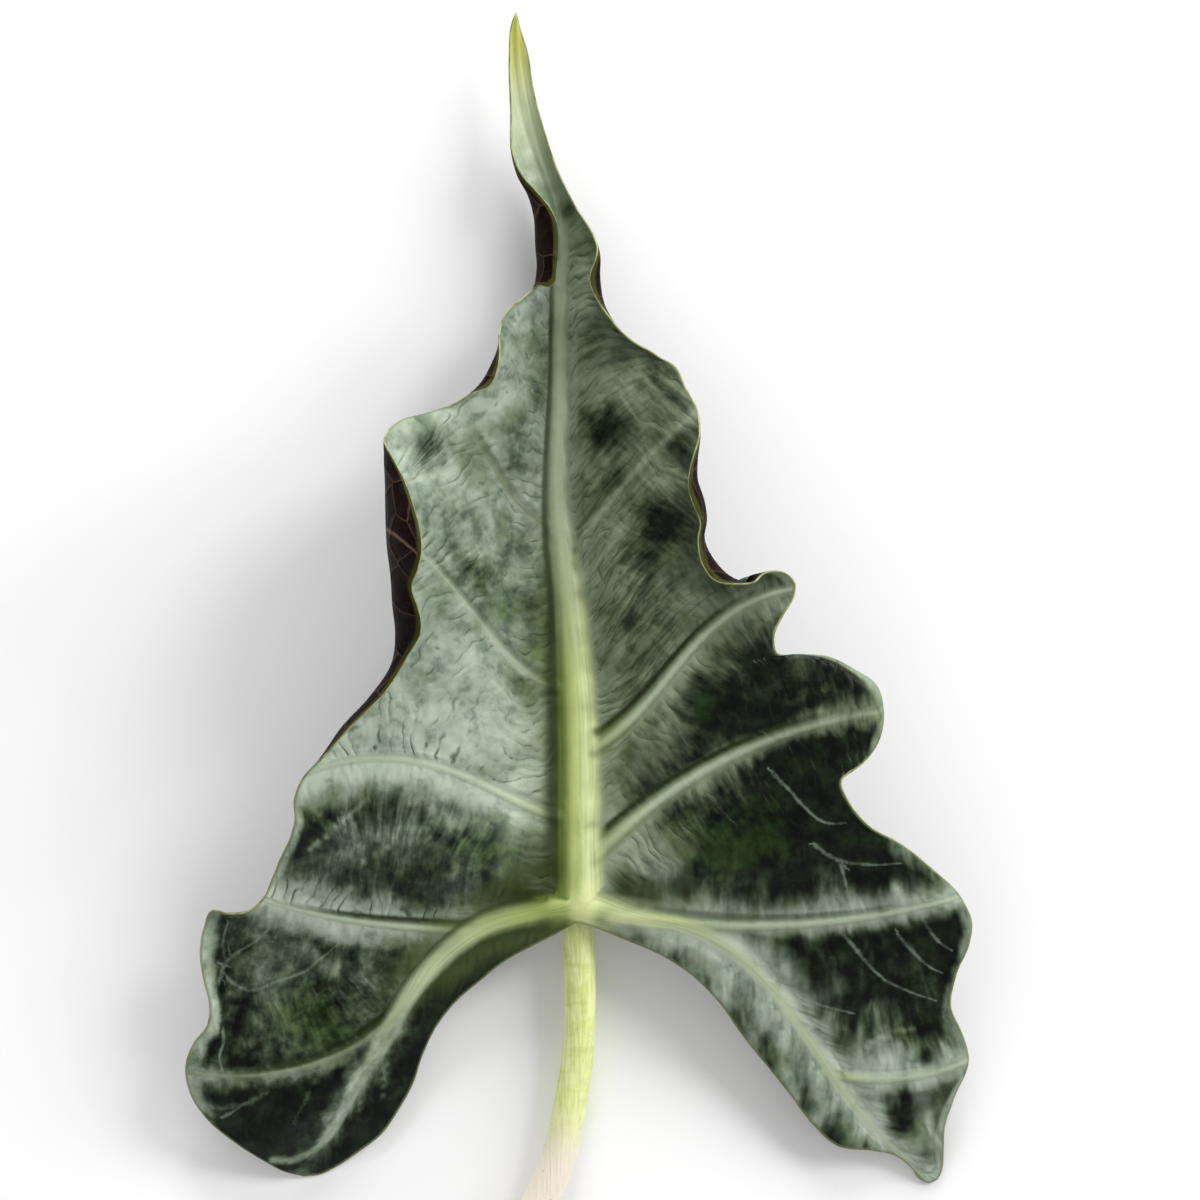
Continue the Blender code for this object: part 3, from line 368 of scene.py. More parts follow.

# Painted sheen on a pale rim inside the curled margin, by the share of the margin: share, width and strength.
RIM_SHEEN_LEFT = [
    (0.0, 1.0, 0.0), (0.32, 1.0, 0.0), (0.35, 2.0, 0.5), (0.38, 1.0, 0.0), (0.56, 1.0, 0.0), (0.60, 2.0, 0.6),
    (0.66, 2.6, 1.0), (0.70, 2.4, 0.9), (0.735, 1.6, 0.4), (0.755, 3.2, 0.8), (0.775, 4.8, 0.85),
    (0.80, 4.2, 0.95), (0.84, 3.2, 1.05), (0.86, 4.4, 0.95), (0.885, 5.4, 0.85), (0.905, 4.5, 0.7),
    (0.92, 2.0, 0.4), (0.94, 1.0, 0.2), (1.0, 1.0, 0.2),
]
RIM_SHEEN_RIGHT = [
    (0.0, 1.0, 0.0), (0.42, 1.0, 0.0), (0.45, 2.5, 0.8), (0.475, 3.5, 0.9), (0.49, 2.5, 0.5),
    (0.52, 1.2, 0.4),
    (0.54, 1.4, 0.5), (0.562, 2.3, 0.75), (0.583, 2.4, 0.8), (0.60, 4.0, 0.85), (0.62, 3.6, 0.8),
    (0.64, 2.6, 0.8), (0.655, 1.2, 0.3), (0.67, 1.0, 0.0), (0.72, 1.0, 0.0), (0.74, 5.0, 0.6),
    (0.765, 4.0, 0.62), (0.79, 3.5, 0.68), (0.82, 3.2, 0.75), (0.845, 2.0, 0.45), (0.868, 2.6, 0.75),
    (0.89, 4.4, 0.9), (0.91, 2.0, 0.7), (0.935, 3.6, 0.95), (0.96, 3.2, 0.95), (1.0, 2.4, 0.8),
]

# Silver beside the midrib by the share of its length: share, how far it reaches and strength.
BESIDE_LEFT = [
    (0.0, 2.0, 0.0), (0.3, 3.0, 0.95), (0.55, 3.0, 0.85), (0.65, 2.5, 0.55), (0.8, 2.5, 0.45),
    (1.0, 2.5, 0.3),
]
BESIDE_RIGHT = [
    (0.0, 2.0, 0.0), (0.2, 3.0, 0.95), (0.4, 4.5, 1.05), (0.55, 5.0, 1.05), (0.7, 5.5, 1.05), (0.8, 6.0, 1.0),
    (0.92, 8.0, 1.0), (1.0, 6.0, 1.0),
]

# Soft silver branches: half width at the start and the end, strength, and points in X and Y.
BRANCHES = [
    (2.6, 1.3, 0.85, [(-46.0, -30.5), (-52.0, -38.0), (-56.8, -43.5), (-58.8, -49.2), (-61.5, -54.8),
                      (-67.2, -61.5), (-71.8, -63.6), (-77.0, -63.6)]),
    (1.0, 0.6, 0.45, [(-46.5, -31.5), (-48.2, -39.8), (-49.2, -48.2)]),
    (0.8, 0.6, 0.45, [(-54.0, -41.0), (-55.0, -49.2), (-55.4, -54.8)]),
    (1.2, 0.7, 0.45, [(-66.0, -43.0), (-69.0, -49.0), (-71.5, -54.0)]),
    (1.0, 0.8, 0.45, [(-92.0, -50.0), (-84.0, -49.0), (-78.0, -46.0)]),
    (0.9, 0.8, 0.70, [(-49.5, 31.5), (-55.0, 26.0), (-61.0, 20.5), (-66.5, 16.0)]),
    (1.1, 0.8, 0.55, [(-57.0, 31.5), (-61.5, 27.0), (-66.0, 22.5)]),
    (0.8, 0.6, 0.55, [(-46.5, 16.5), (-51.0, 14.0), (-56.0, 10.5)]),
    (1.6, 1.0, 0.55, [(62.0, -46.0), (68.0, -55.0), (76.0, -61.0), (84.0, -66.0)]),
    (1.2, 0.9, 0.50, [(72.0, -44.0), (77.0, -39.0), (84.0, -36.5), (92.0, -34.0)]),
    (1.2, 0.9, 0.50, [(68.0, -41.0), (72.0, -35.0), (78.0, -31.5), (85.0, -30.0)]),
]

# Darker and paler patches of the upper face: X, Y, radius and how much silver they take or give.
PATCHES = [
    (-37.0, 115.5, 4.6, -0.55), (-3.0, 176.0, 2.4, -0.4), (-13.0, 77.0, 6.0, -0.2), (-10.0, 66.0, 4.0, -0.2),
    (-13.0, 56.0, 4.0, -0.15), (56.0, 36.0, 9.0, -0.5), (57.0, 26.0, 9.0, -0.3), (66.0, 33.0, 8.0, -0.6),
    (-17.5, 119.0, 3.5, -0.3), (-15.0, 112.0, 3.5, -0.25),
    (22.0, 97.0, 6.0, -0.55), (24.5, 114.5, 4.5, -0.5), (34.0, 50.0, 6.0, -0.5), (46.0, 48.0, 6.0, -0.4),
    (-45.0, 15.0, 8.0, 0.12), (-36.8, 42.5, 9.0, 0.22), (-75.0, -20.0, 9.0, 0.15), (20.0, 24.0, 6.0, -0.2),
    (45.0, 62.0, 5.0, -0.4), (8.5, 120.0, 6.0, -0.5), (-34.0, 97.0, 6.0, -0.2), (-18.0, 88.0, 6.0, -0.15),
    (-69.0, 39.0, 6.0, 0.3), (74.0, -53.0, 7.0, 0.25), (87.5, -55.0, 3.5, 0.45), (81.0, -53.5, 4.0, -0.6),
    (88.0, -63.5, 3.0, -0.5), (87.5, -37.5, 2.5, -0.6), (-15.0, 30.0, 5.0, 0.2),
    (-30.0, 100.0, 5.0, -0.15), (-25.0, 80.0, 6.0, -0.2), (36.0, -12.0, 6.0, 0.3), (30.0, -3.0, 5.0, 0.3),
    (75.0, -31.0, 7.0, 0.35), (82.0, -36.0, 6.0, 0.35), (15.0, 85.0, 5.0, -0.2), (12.0, 130.0, 5.0, 0.15),
    (9.0, 106.0, 4.5, -0.35), (-30.0, 87.0, 5.0, -0.25), (11.0, 17.0, 8.0, 0.55), (22.0, 13.0, 7.0, 0.35),
    (-60.0, 17.0, 9.0, 0.2), (-50.0, 22.0, 7.0, 0.12),
    (-47.0, 66.0, 6.0, -0.2), (-19.0, 38.0, 5.0, -0.2), (-40.0, 60.0, 5.0, -0.15), (-24.0, 128.0, 5.0, 0.2),
]

# Thin pale veins of the upper face, each as points in X and Y.
MINOR_VEINS = [
    [(66.2, -5.8), (69.0, -9.0), (72.2, -13.0), (77.0, -17.5), (82.0, -20.0), (90.5, -23.0)],
    [(80.0, -5.8), (83.5, -10.0), (88.2, -14.2), (92.5, -16.2)],
    [(87.2, -3.8), (90.0, -7.5), (93.5, -10.0)],
    [(48.3, 34.7), (52.5, 30.5), (57.3, 25.2), (61.0, 22.5), (68.7, 22.3)],
    [(59.0, 16.5), (64.7, 13.0), (72.0, 11.8), (81.5, 12.2)],
    [(64.7, 13.0), (66.4, 9.0), (67.2, 5.5)],
    [(-88.4, -12.8), (-85.1, -10.5), (-80.4, -7.6), (-75.7, -2.9)],
    [(-88.1, -16.6), (-85.1, -19.0), (-82.3, -20.1), (-75.7, -18.0), (-68.1, -15.2), (-63.4, -11.4),
     (-60.1, -8.6)],
    [(-88.1, -13.0), (-88.7, -8.6), (-87.5, -2.9)],
    [(-88.1, -12.8), (-89.3, -16.1), (-90.3, -20.8), (-89.8, -25.1), (-91.2, -29.3)],
    [(-89.3, -28.9), (-88.7, -33.1), (-89.8, -36.9), (-88.9, -40.7)],
    [(-90.8, -52.9), (-87.0, -51.0), (-83.0, -48.2)],
    [(91.9, -56.0), (91.4, -64.8), (88.6, -67.6), (84.4, -64.8), (77.4, -59.0)],
    [(48.0, -14.0), (53.0, -19.0), (60.0, -23.5), (69.0, -26.0)],
]
MINOR_TRIES = 24

# How thick a vein is at its last point as a share of its first, what stands for no vein near, and how far
# out on the curl the veins end, where 1 is the start of the curl and 2 the margin.
VEIN_TAPER = 0.5
NO_VEIN = 9.0
VEINS_END = 1.4

# How far from the main rib, in millimetres, its own streaks reach, by the share of the margin.
WEAVE_LEFT = [(0.0, 14.0), (0.2, 24.0), (0.6, 26.0), (0.66, 12.0), (0.76, 6.0), (1.0, 6.0)]
WEAVE_RIGHT = [(0.0, 14.0), (0.15, 26.0), (0.45, 36.0), (0.5, 15.0), (0.62, 13.0), (0.7, 7.0), (1.0, 7.0)]

# They are gone altogether at this many times that distance.
WEAVE_END = 1.5

# How far the streaks of the main rib bend back from the lines of the blade, and over what distance.
BARBS_LEFT = (17.0, 24.0)
BARBS_RIGHT = (5.0, 20.0)

# Greener patches of the upper face: X, Y, radius and strength.
GREENS = [
    (30.8, 51.2, 3.8, 0.65), (34.0, 55.0, 3.0, 0.35), (-19.0, 76.0, 6.0, 0.8), (-13.0, 64.0, 5.0, 0.9),
    (45.8, 20.0, 8.0, 0.8),
    (27.0, 20.0, 8.0, 0.9), (40.0, 12.0, 7.0, 0.5), (-26.8, 15.0, 10.0, 0.6), (-14.0, 12.0, 7.0, 0.6),
    (-69.0, -26.0, 9.0, 0.9), (70.8, 12.5, 6.0, 0.6),
    (-12.0, 52.0, 4.0, 0.6), (-18.0, 108.0, 4.0, 0.4), (36.0, 12.0, 6.0, 0.6), (86.0, -20.0, 7.0, 0.5),
    (-60.0, -32.0, 7.0, 0.6), (-35.0, -8.0, 6.0, 0.5), (18.0, 36.0, 5.0, 0.3),
]

# The pale knot where the midrib meets the stalk: X, Y, radius and strength.
KNOT = [(2.4, 3.6, 4.6, 0.8), (0.8, -2.2, 3.4, 0.75)]

# Painted deep olive shade in the hollows round the knot, and where two of the right ribs leave the
# midrib: X, Y, radius and strength.
HOLLOW_SHADES = [
    (-7.5, 8.5, 4.0, 0.8), (-14.5, 6.0, 4.5, 0.8), (-22.0, 3.0, 4.0, 0.5), (-8.5, -4.5, 3.5, 0.8),
    (5.8, -2.6, 2.8, 0.5), (13.0, 6.0, 3.5, 0.5), (9.0, 8.0, 3.0, 0.45), (22.0, 3.0, 3.5, 0.35),
    (4.9, 44.6, 1.5, 0.8), (-0.4, 90.2, 1.4, 0.7), (-7.8, 16.0, 4.5, 0.6), (-14.0, 12.0, 5.5, 0.45),
    (-7.6, 26.0, 3.5, 0.3),
]

# A rib's own coordinates go on this far past its ends, its band and line fade in over RIB_FADE, and the
# two channels blend over CHANNEL_BLEND, in millimetres. FAR_AWAY stands for no rib near.
RIB_EXTENSION = 25.0
RIB_FADE = 5.0
CHANNEL_BLEND = 9.0
FAR_AWAY = 99.0

# Past where the ribs meet, the lobe's rib takes over from the midrib within MEETING_FADE, and the fold
# beside it starts within FOLD_FADE. Distances across a rib are kept up to ACROSS_LIMIT.
MEETING_FADE = 12.0
FOLD_FADE = 3.0
ACROSS_LIMIT = 60.0

# How much sooner than by its place on the curl the blade reaches the silver of the margin.
SILVER_LEAD = 0.25

# What the materials know of each point. The last ones are given for both channels of lateral ribs.
CHANNEL_MARKS = ("u", "v", "share", "width", "line", "fold")
MARKS = (
    "across", "rib_far", "run", "off", "edge", "inner", "step", "side", "silver", "core", "past", "lobe_fold_shade",
    "lobe_line", "weave", "barb", "strip", "knot", "hollow_shade", "green", "minor", "minor_far", "which",
    *(f"{channel}_{name}" for channel in "ab" for name in CHANNEL_MARKS),
)


def columns_at(table, key):
    """The other columns of a table, read off at a key in its first column."""
    table = np.array(table)
    return [np.interp(key, table[:, 0], column) for column in table[:, 1:].T]


def graded(table, key, share):
    """Value that goes from near to far across the blade, from a table by a key."""
    near, far = columns_at(table, key)
    return near + (far - near) * np.clip(share, 0.0, 1.0)


def band(away, share, widths):
    """Strength of the silver band beside a rib. away is below zero on the side of the tip."""
    tip_start, tip_end, base_start, base_end, strong_start, strong_end = widths
    on_tip = tip_start + (tip_end - tip_start) * share
    on_base = base_start + (base_end - base_start) * share
    width = np.where(away < 0, on_tip, on_base)
    strength = strong_start + (strong_end - strong_start) * share
    return strength * np.exp(-((np.abs(away) / width) ** 2))


def nearest_on(points, line, keys):
    """Distance in plan of each point from a line, the side of it (-1 for the right) and the key there."""
    best = np.full(len(points), np.inf)
    side = np.zeros(len(points))
    key = np.zeros(len(points))
    for i, (a, b) in enumerate(zip(line, line[1:])):
        along = b - a
        t = np.clip(((points - a) @ along) / max(along @ along, SMALL_LENGTH), 0, 1)
        off = points - a - t[:, None] * along
        away = np.hypot(*off.T)
        nearer = away < best
        best[nearer] = away[nearer]
        side[nearer] = np.sign(along[0] * off[:, 1] - along[1] * off[:, 0])[nearer]
        key[nearer] = (keys[i] + (keys[i + 1] - keys[i]) * t)[nearer]
    return best, side, key


def distance_to(points, line):
    """Distance in plan of each point from a line, and the share of the line's length nearest to it."""
    keys = steps_along(line)
    best, _, share = nearest_on(points, line, keys / keys[-1])
    return best, share


def beside(points, line, extra=0.0):
    """Signed distance in plan of each point from a line, below zero on its right, and how far along it.

    The line goes on straight past both ends by the extra length.
    """
    line = np.asarray(line, float)
    if extra > 0.0:
        first, last = line[0] - line[1], line[-1] - line[-2]
        first, last = first / np.hypot(*first), last / np.hypot(*last)
        line = np.vstack([line[0] + extra * first, line, line[-1] + extra * last])
    best, side, length = nearest_on(points, line, steps_along(line) - extra)
    return side * best, length


def fine_line(points):
    """A smooth curve through a few points in plan, and its length."""
    keys = steps_along(points)
    return smooth(keys, np.array(points), np.linspace(0.0, keys[-1], MINOR_TRIES)), keys[-1]


def minor_veins(plan, outward):
    """Signed and plain distance of each point from the nearest thin vein."""
    near = np.full(len(plan), NO_VEIN)
    for points in MINOR_VEINS:
        line, length = fine_line(points)
        signed, along = beside(plan, line)
        signed = signed / (1.0 + (VEIN_TAPER - 1.0) * along / length)
        near = np.where(np.abs(signed) < np.abs(near), signed, near)
    near[outward > VEINS_END] = NO_VEIN
    return near, np.abs(near)


def patches(plan, spots):
    """Sum at each point of round spots, each with its place, radius and amount."""
    total = np.zeros(len(plan))
    for x, y, radius, amount in spots:
        total += amount * np.exp(-(((plan[:, 0] - x) ** 2 + (plan[:, 1] - y) ** 2) / radius**2))
    return total


def branches(plan):
    """Silver of the soft branches at each point."""
    best = np.zeros(len(plan))
    for start, end, strength, points in BRANCHES:
        line, length = fine_line(points)
        away, along = beside(plan, line)
        width = start + (end - start) * along / length
        best = np.maximum(best, strength * np.exp(-((away / width) ** 2)))
    return best


def rim_sheen(half, share, edge):
    """Silver of the painted sheen on the rim inside the margin."""
    width, strength = columns_at(RIM_SHEEN_LEFT if half.side < 0 else RIM_SHEEN_RIGHT, share[:, None])
    return strength * np.exp(-((edge / width) ** 4))


def beside_midrib(left, share, away):
    """Silver beside the midrib at a share of its length and a distance from it."""
    reach, strength = columns_at(BESIDE_LEFT if left else BESIDE_RIGHT, share)
    return strength * np.exp(-((np.maximum(away, 0.0) / reach) ** 2))


def channels(half, plan):
    """Place of each point beside the lateral ribs, and the silver of their bands.

    The ribs take turns between two channels, a and b. Each channel gives, for its nearest rib, the
    distance along it (u) and from it (v, below zero on the tip's side), with the rib's line and how
    dark the painted shade in the fold beside it is.
    """
    count = len(plan)
    found = {channel: {name: np.zeros(count) for name in CHANNEL_MARKS} for channel in "ab"}
    for place in found.values():
        place["v"][:] = FAR_AWAY
    reach = {channel: np.full(count, FAR_AWAY) for channel in "ab"}
    silver = np.zeros(count)
    bands = BANDS_LEFT if half.side < 0 else BANDS_RIGHT
    lines = LINES_LEFT if half.side < 0 else LINES_RIGHT
    for i, (rib, _) in enumerate(half.rib_lines()):
        signed, u = beside(plan, rib, RIB_EXTENSION)
        v = -half.side * signed
        share = np.clip(u / steps_along(rib)[-1], 0.0, 1.0)
        begun = np.clip(1.0 + u / RIB_FADE, 0.0, 1.0)
        silver = np.maximum(silver, begun * band(v, share, bands[i]))
        width, end_width, plain_line, end_line, fold = lines[i]
        values = {
            "u": u, "v": v, "share": share, "width": width + (end_width - width) * share,
            "line": begun * (plain_line + (end_line - plain_line) * share), "fold": begun * fold,
        }
        channel = "ab"[i % 2]
        place = found[channel]
        away = np.abs(v) + np.maximum(-u, 0.0)
        nearer = away < reach[channel]
        reach[channel] = np.where(nearer, away, reach[channel])
        for name in CHANNEL_MARKS:
            place[name] = np.where(nearer, values[name], place[name])
    lead = reach["b"] - reach["a"]
    marks = {"which": np.clip(0.5 + lead / CHANNEL_BLEND, 0.0, 1.0)}
    for channel, place in found.items():
        for name in CHANNEL_MARKS:
            marks[channel + "_" + name] = place[name]
    return marks, silver


def marks_of(half, steps, points, outward, in_strip):
    """What the materials need to know of each point, by name."""
    shape = points.shape[:2]
    left = half.side < 0
    gap = np.linalg.norm(np.diff(points, axis=1), axis=2)
    run = np.concatenate([np.zeros((shape[0], 1)), np.cumsum(gap, 1)], 1)
    edge = run[:, -1:] - run
    gap = np.linalg.norm(np.diff(points, axis=0), axis=2)
    total = np.concatenate([np.zeros((1, shape[1])), np.cumsum(gap, 0)])
    share = steps / half.length
    inner = half.inner_at(steps)
    past = np.clip((inner - half.meeting) / MEETING_FADE, 0.0, 1.0)[:, None]
    plan = points.reshape(-1, 3)[:, :2]
    marks, bands = channels(half, plan)
    marks = {name: values.reshape(shape) for name, values in marks.items()}
    bands = bands.reshape(shape)
    across = np.full(shape, FAR_AWAY)
    if not in_strip:
        for k in LATERAL:
            away = total - total[np.argmin(np.abs(steps - half.rib_at[k + 1]))]
            across = np.where(np.abs(away) < np.abs(across), away, across)
    lobe_share = np.clip((inner - half.meeting) / (half.inner_length - half.meeting), 0.0, 1.0)
    off_midrib = distance_to(plan, finer(MIDRIB))[0].reshape(shape)
    off_lobe = distance_to(plan, finer(half.lobe_rib))[0].reshape(shape)
    beside_lobe = off_lobe if in_strip else -off_lobe
    lobe_band = band(beside_lobe, lobe_share[:, None], LOBE_BAND_LEFT if left else LOBE_BAND_RIGHT)
    if in_strip:
        level = graded(STRIP_LEFT if left else STRIP_RIGHT, lobe_share[:, None], outward / 2.0)
        silver = np.maximum(level, lobe_band)
    else:
        lead = outward / 2.0 + SILVER_LEAD * np.minimum(outward, 1.0)
        level = graded(SILVER_LEFT if left else SILVER_RIGHT, share[:, None], lead)
        silver = np.maximum(level, bands)
        silver = np.maximum(silver, past * lobe_band)
        # Painted sheen on the rim where the margin curls.
        silver = np.maximum(silver, rim_sheen(half, share, edge))
    # The first column is the painted shade in the fold on the margin's side of the lobe's rib.
    lobe_fold_shade, lobe_line = columns_at(LOBE_FOLD_LEFT if left else LOBE_FOLD_RIGHT, lobe_share[:, None])
    begun = np.clip((inner[:, None] - half.meeting) / FOLD_FADE, 0.0, 1.0)
    lobe_fold_shade = lobe_fold_shade * (0.0 if in_strip else begun)
    silver = np.maximum(silver, branches(plan).reshape(shape))
    mid_share = np.clip(inner / half.meeting, 0.0, 1.0)[:, None]
    on_midrib = columns_at(MIDRIB_PROFILE, mid_share)[0]
    if not in_strip:
        silver = np.maximum(silver, (1.0 - past) * beside_midrib(left, mid_share, off_midrib - on_midrib))
    silver = silver + patches(plan, PATCHES).reshape(shape)
    minor, minor_far = minor_veins(plan, outward.ravel())
    reach, = columns_at(WEAVE_LEFT if left else WEAVE_RIGHT, share[:, None])
    on_lobe = columns_at(LOBE_RIB_PROFILE, lobe_share[:, None])[0]
    every = np.ones(shape)
    bend, bend_reach = BARBS_LEFT if left else BARBS_RIGHT
    marks.update({
        "across": np.clip(across, -ACROSS_LIMIT, ACROSS_LIMIT),
        "rib_far": np.abs(across),
        "run": run,
        "off": np.minimum(off_midrib, off_lobe),
        "edge": edge,
        "inner": inner[:, None] * every,
        "step": steps[:, None] * every,
        "side": half.side * every,
        "silver": silver,
        "core": np.where(off_midrib <= off_lobe, on_midrib * every, on_lobe * every),
        "past": past * every,
        "lobe_fold_shade": lobe_fold_shade * every,
        "lobe_line": lobe_line * every,
        "weave": np.clip(WEAVE_END - run / reach, 0.0, 1.0),
        "barb": inner[:, None] - bend * (1.0 - np.exp(-run / bend_reach)),
        "strip": (1.0 if in_strip else 0.0) * every,
        "knot": patches(plan, KNOT).reshape(shape),
        "hollow_shade": patches(plan, HOLLOW_SHADES).reshape(shape),
        "green": patches(plan, GREENS).reshape(shape),
        "minor": minor.reshape(shape),
        "minor_far": minor_far.reshape(shape),
    })
    return marks


class Half:
    """One side of the blade, from the midrib and the lobe's rib out to the margin."""

    def __init__(self, side, margin, lobe_rib, sinus, ribs, slopes, sinus_slope):
        self.side = side
        self.margin = margin
        self.margin_keys = steps_along(margin)
        self.length = self.margin_keys[-1]
        self.lobe_rib = lobe_rib
        self.meeting = steps_along(MIDRIB)[-1]
        self.inner_length = self.meeting + steps_along(lobe_rib)[-1]
        self.sinus = [(side * CREST_HALF_WIDTH, NOTCH_Y)] + sinus
        self.sinus_keys = steps_along(self.sinus)
        self.ribs = ribs
        self.slopes = np.array(slopes, float)
        self.sinus_slope = sinus_slope
        ends = [nearest_step(margin, rib[3]) for rib in ribs]
        starts = [self.nearest_inner(rib[0]) for rib in ribs]
        self.rib_at = np.array([0.0] + ends + [self.length])
        self.rib_from = np.array([0.0] + starts + [self.inner_length])
        bends = [(0, 0, 0, 0)]
        for rib, start in zip(ribs, starts):
            a = self.inner_point(np.array([start]))[0, :2]
            d = np.array(rib[3])
            bends.append((*(np.array(rib[1]) - (2 * a + d) / 3), *(np.array(rib[2]) - (a + 2 * d) / 3)))
        self.bends = np.array(bends + [(0, 0, 0, 0)], float)

    def inner_point(self, inner_step):
        """X, Y and height on the midrib and then on the lobe's rib, which meet at a corner."""
        on_midrib = smooth(steps_along(MIDRIB), np.array(MIDRIB), inner_step)
        on_lobe = smooth(steps_along(self.lobe_rib), np.array(self.lobe_rib), inner_step - self.meeting)
        return np.where((inner_step <= self.meeting)[:, None], on_midrib, on_lobe)

    def nearest_inner(self, target):
        """Distance along the midrib and the lobe's rib of their place nearest to the target."""
        at = np.linspace(0, self.inner_length, NEAREST_TRIES)
        plan = self.inner_point(at)
        return at[np.argmin(np.hypot(plan[:, 0] - target[0], plan[:, 1] - target[1]))]

    def inner_at(self, margin_step):
        """Where on the midrib or the lobe's rib the line that ends at this step of the margin starts."""
        return steady(self.rib_at, self.rib_from, margin_step)

    def corners(self, margin_step):
        """The four plan corners of each line, and the height of the sheet where it starts."""
        inner_step = self.inner_at(margin_step)
        start = self.inner_point(inner_step)
        a = start[:, :2].copy()
        past = np.clip((inner_step - self.meeting) / CREST_FADE, 0.0, 1.0)
        crest = np.clip(margin_step / TIP_LENGTH, 0.0, 1.0) * (1.0 - past)
        a[:, 0] += self.side * CREST_HALF_WIDTH * crest
        d = smooth(self.margin_keys, np.array(self.margin, float)[:, :2], margin_step)
        bend = smooth(self.rib_at, self.bends, margin_step)
        b = (2 * a + d) / 3 + bend[:, :2]
        c = (a + 2 * d) / 3 + bend[:, 2:]
        return (a, b, c, d), start[:, 2]

    def lines(self, spacing):
        """Steps along the margin where lines run: at each rib, beside it, and evenly between."""
        fixed = set(np.round(self.rib_at, 4))
        for k in LATERAL:
            fixed.add(round(self.rib_at[k + 1] - CREASE_OFFSET, 4))
            fixed.add(round(self.rib_at[k + 1] + CREASE_OFFSET, 4))
        fine = np.linspace(0, self.length, NEAREST_TRIES)
        fixed.add(round(float(np.interp(self.meeting, self.inner_at(fine), fine)), 4))
        fixed = sorted(fixed)
        steps = []
        for low, high in zip(fixed, fixed[1:]):
            count = max(1, int(round((high - low) / spacing)))
            steps += list(np.linspace(low, high, count + 1)[:-1])
        return np.array(steps + [self.length])

    def sheet(self, steps, flat_shares, curl_shares):
        """Points of the sheet, one row for each line, and how far out each is as a share."""
        (a, b, c, d), height = self.corners(steps)
        t = np.linspace(0, 1, PATH_TRIES)
        path = bezier([corner[:, None, :] for corner in (a, b, c, d)], t[None, :])
        pieces = np.hypot(*np.diff(path, axis=1).transpose(2, 0, 1))
        along = np.concatenate([np.zeros((len(steps), 1)), np.cumsum(pieces, 1)], 1)
        reach = along[:, -1]
        share = steps / self.length
        slopes = np.radians(smooth(self.slopes[:, 0], self.slopes[:, 1:], share))
        start, end = slopes[:, :1], slopes[:, 1:2]
        curl = smooth(self.margin_keys, np.array(self.margin)[:, 2:], steps)
        turn = np.radians(curl[:, :1])
        turn = np.where(np.abs(turn) < SMALL_TURN, SMALL_TURN, turn)
        g = np.linspace(0, 1, CURL_TRIES)[None, :]
        furthest = np.max((np.sin(end + turn * g) - np.sin(end)) / turn, axis=1, keepdims=True)
        width = np.minimum(curl[:, 1:2], CURL_REACH * reach[:, None] / furthest)
        bend = end - start
        bend = np.where(np.abs(bend) < SMALL_TURN, SMALL_TURN, bend)
        level = (np.sin(start + bend) - np.sin(start)) / bend
        length = (reach[:, None] - width * furthest) / level
        f = np.array(flat_shares)[None, :]
        out = length * (np.sin(start + bend * f) - np.sin(start)) / bend
        up = length * (np.cos(start) - np.cos(start + bend * f)) / bend
        up += self.quilt(steps, reach)[:, None] * np.sin(math.pi * f) ** 2
        g = np.array(curl_shares)[None, :]
        out_curl = out[:, -1:] + width * (np.sin(start + bend + turn * g) - np.sin(start + bend)) / turn
        up_curl = up[:, -1:] + width * (np.cos(start + bend) - np.cos(start + bend + turn * g)) / turn
        out = np.concatenate([out, out_curl], 1)
        up = np.concatenate([up, up_curl], 1)
        points = np.empty(out.shape + (3,))
        for i in range(len(steps)):
            v = np.interp(out[i], along[i], t) if reach[i] > 0 else np.zeros(out.shape[1])
            points[i, :, :2] = bezier((a[i], b[i], c[i], d[i]), v)
        points[:, :, 2] = height[:, None] + up
        outward = np.tile(np.concatenate([f, 1 + g], 1), (len(steps), 1))
        return points, outward

    def quilt(self, steps, reach):
        """Height of the puffed blade between two ribs."""
        k = np.clip(np.searchsorted(self.rib_at, steps, side="right") - 1, 0, len(self.rib_at) - 2)
        share = (steps - self.rib_at[k]) / (self.rib_at[k + 1] - self.rib_at[k])
        return QUILT_HEIGHT * np.sin(math.pi * share) ** 2 * np.clip(reach / QUILT_REACH, 0, 1)

    def strip(self, steps, shares):
        """Points of the narrow strip between the lobe's rib and the sinus."""
        (a, _, _, _), height = self.corners(steps)
        share = (self.inner_at(steps) - self.meeting) / (self.inner_length - self.meeting)
        edge = smooth(self.sinus_keys, np.array(self.sinus), share * self.sinus_keys[-1])
        s = np.array(shares)[None, :]
        across = np.hypot(*(edge - a).T)[:, None]
        bent = (1 - STRIP_BEND) * s + STRIP_BEND * s**2
        fall = math.tan(math.radians(self.sinus_slope)) * across * bent
        points = np.empty((len(steps), len(shares), 3))
        points[:, :, :2] = a[:, None, :] + (edge - a)[:, None, :] * s[:, :, None]
        points[:, :, 2] = height[:, None] + fall
        return points

    def rib_lines(self):
        """Each lateral rib as points in plan, and the step of the margin where it ends."""
        found = []
        for k in LATERAL:
            (a, b, c, d), _ = self.corners(self.rib_at[k + 1 : k + 2])
            line = bezier((a[0], b[0], c[0], d[0]), np.linspace(0, 1, RIB_TRIES))
            found.append((line, self.rib_at[k + 1]))
        return found


def ridge(distance, half_width):
    """Rounded profile, 1 on the line and 0 from half_width on."""
    return np.cos(math.pi / 2 * np.minimum(distance / half_width, 1.0)) ** 2


def finer(line):
    """Plan of the smooth curve through the points of a line."""
    keys = steps_along(line)
    return smooth(keys, np.array(line)[:, :2], np.linspace(0.0, keys[-1], LINE_TRIES))


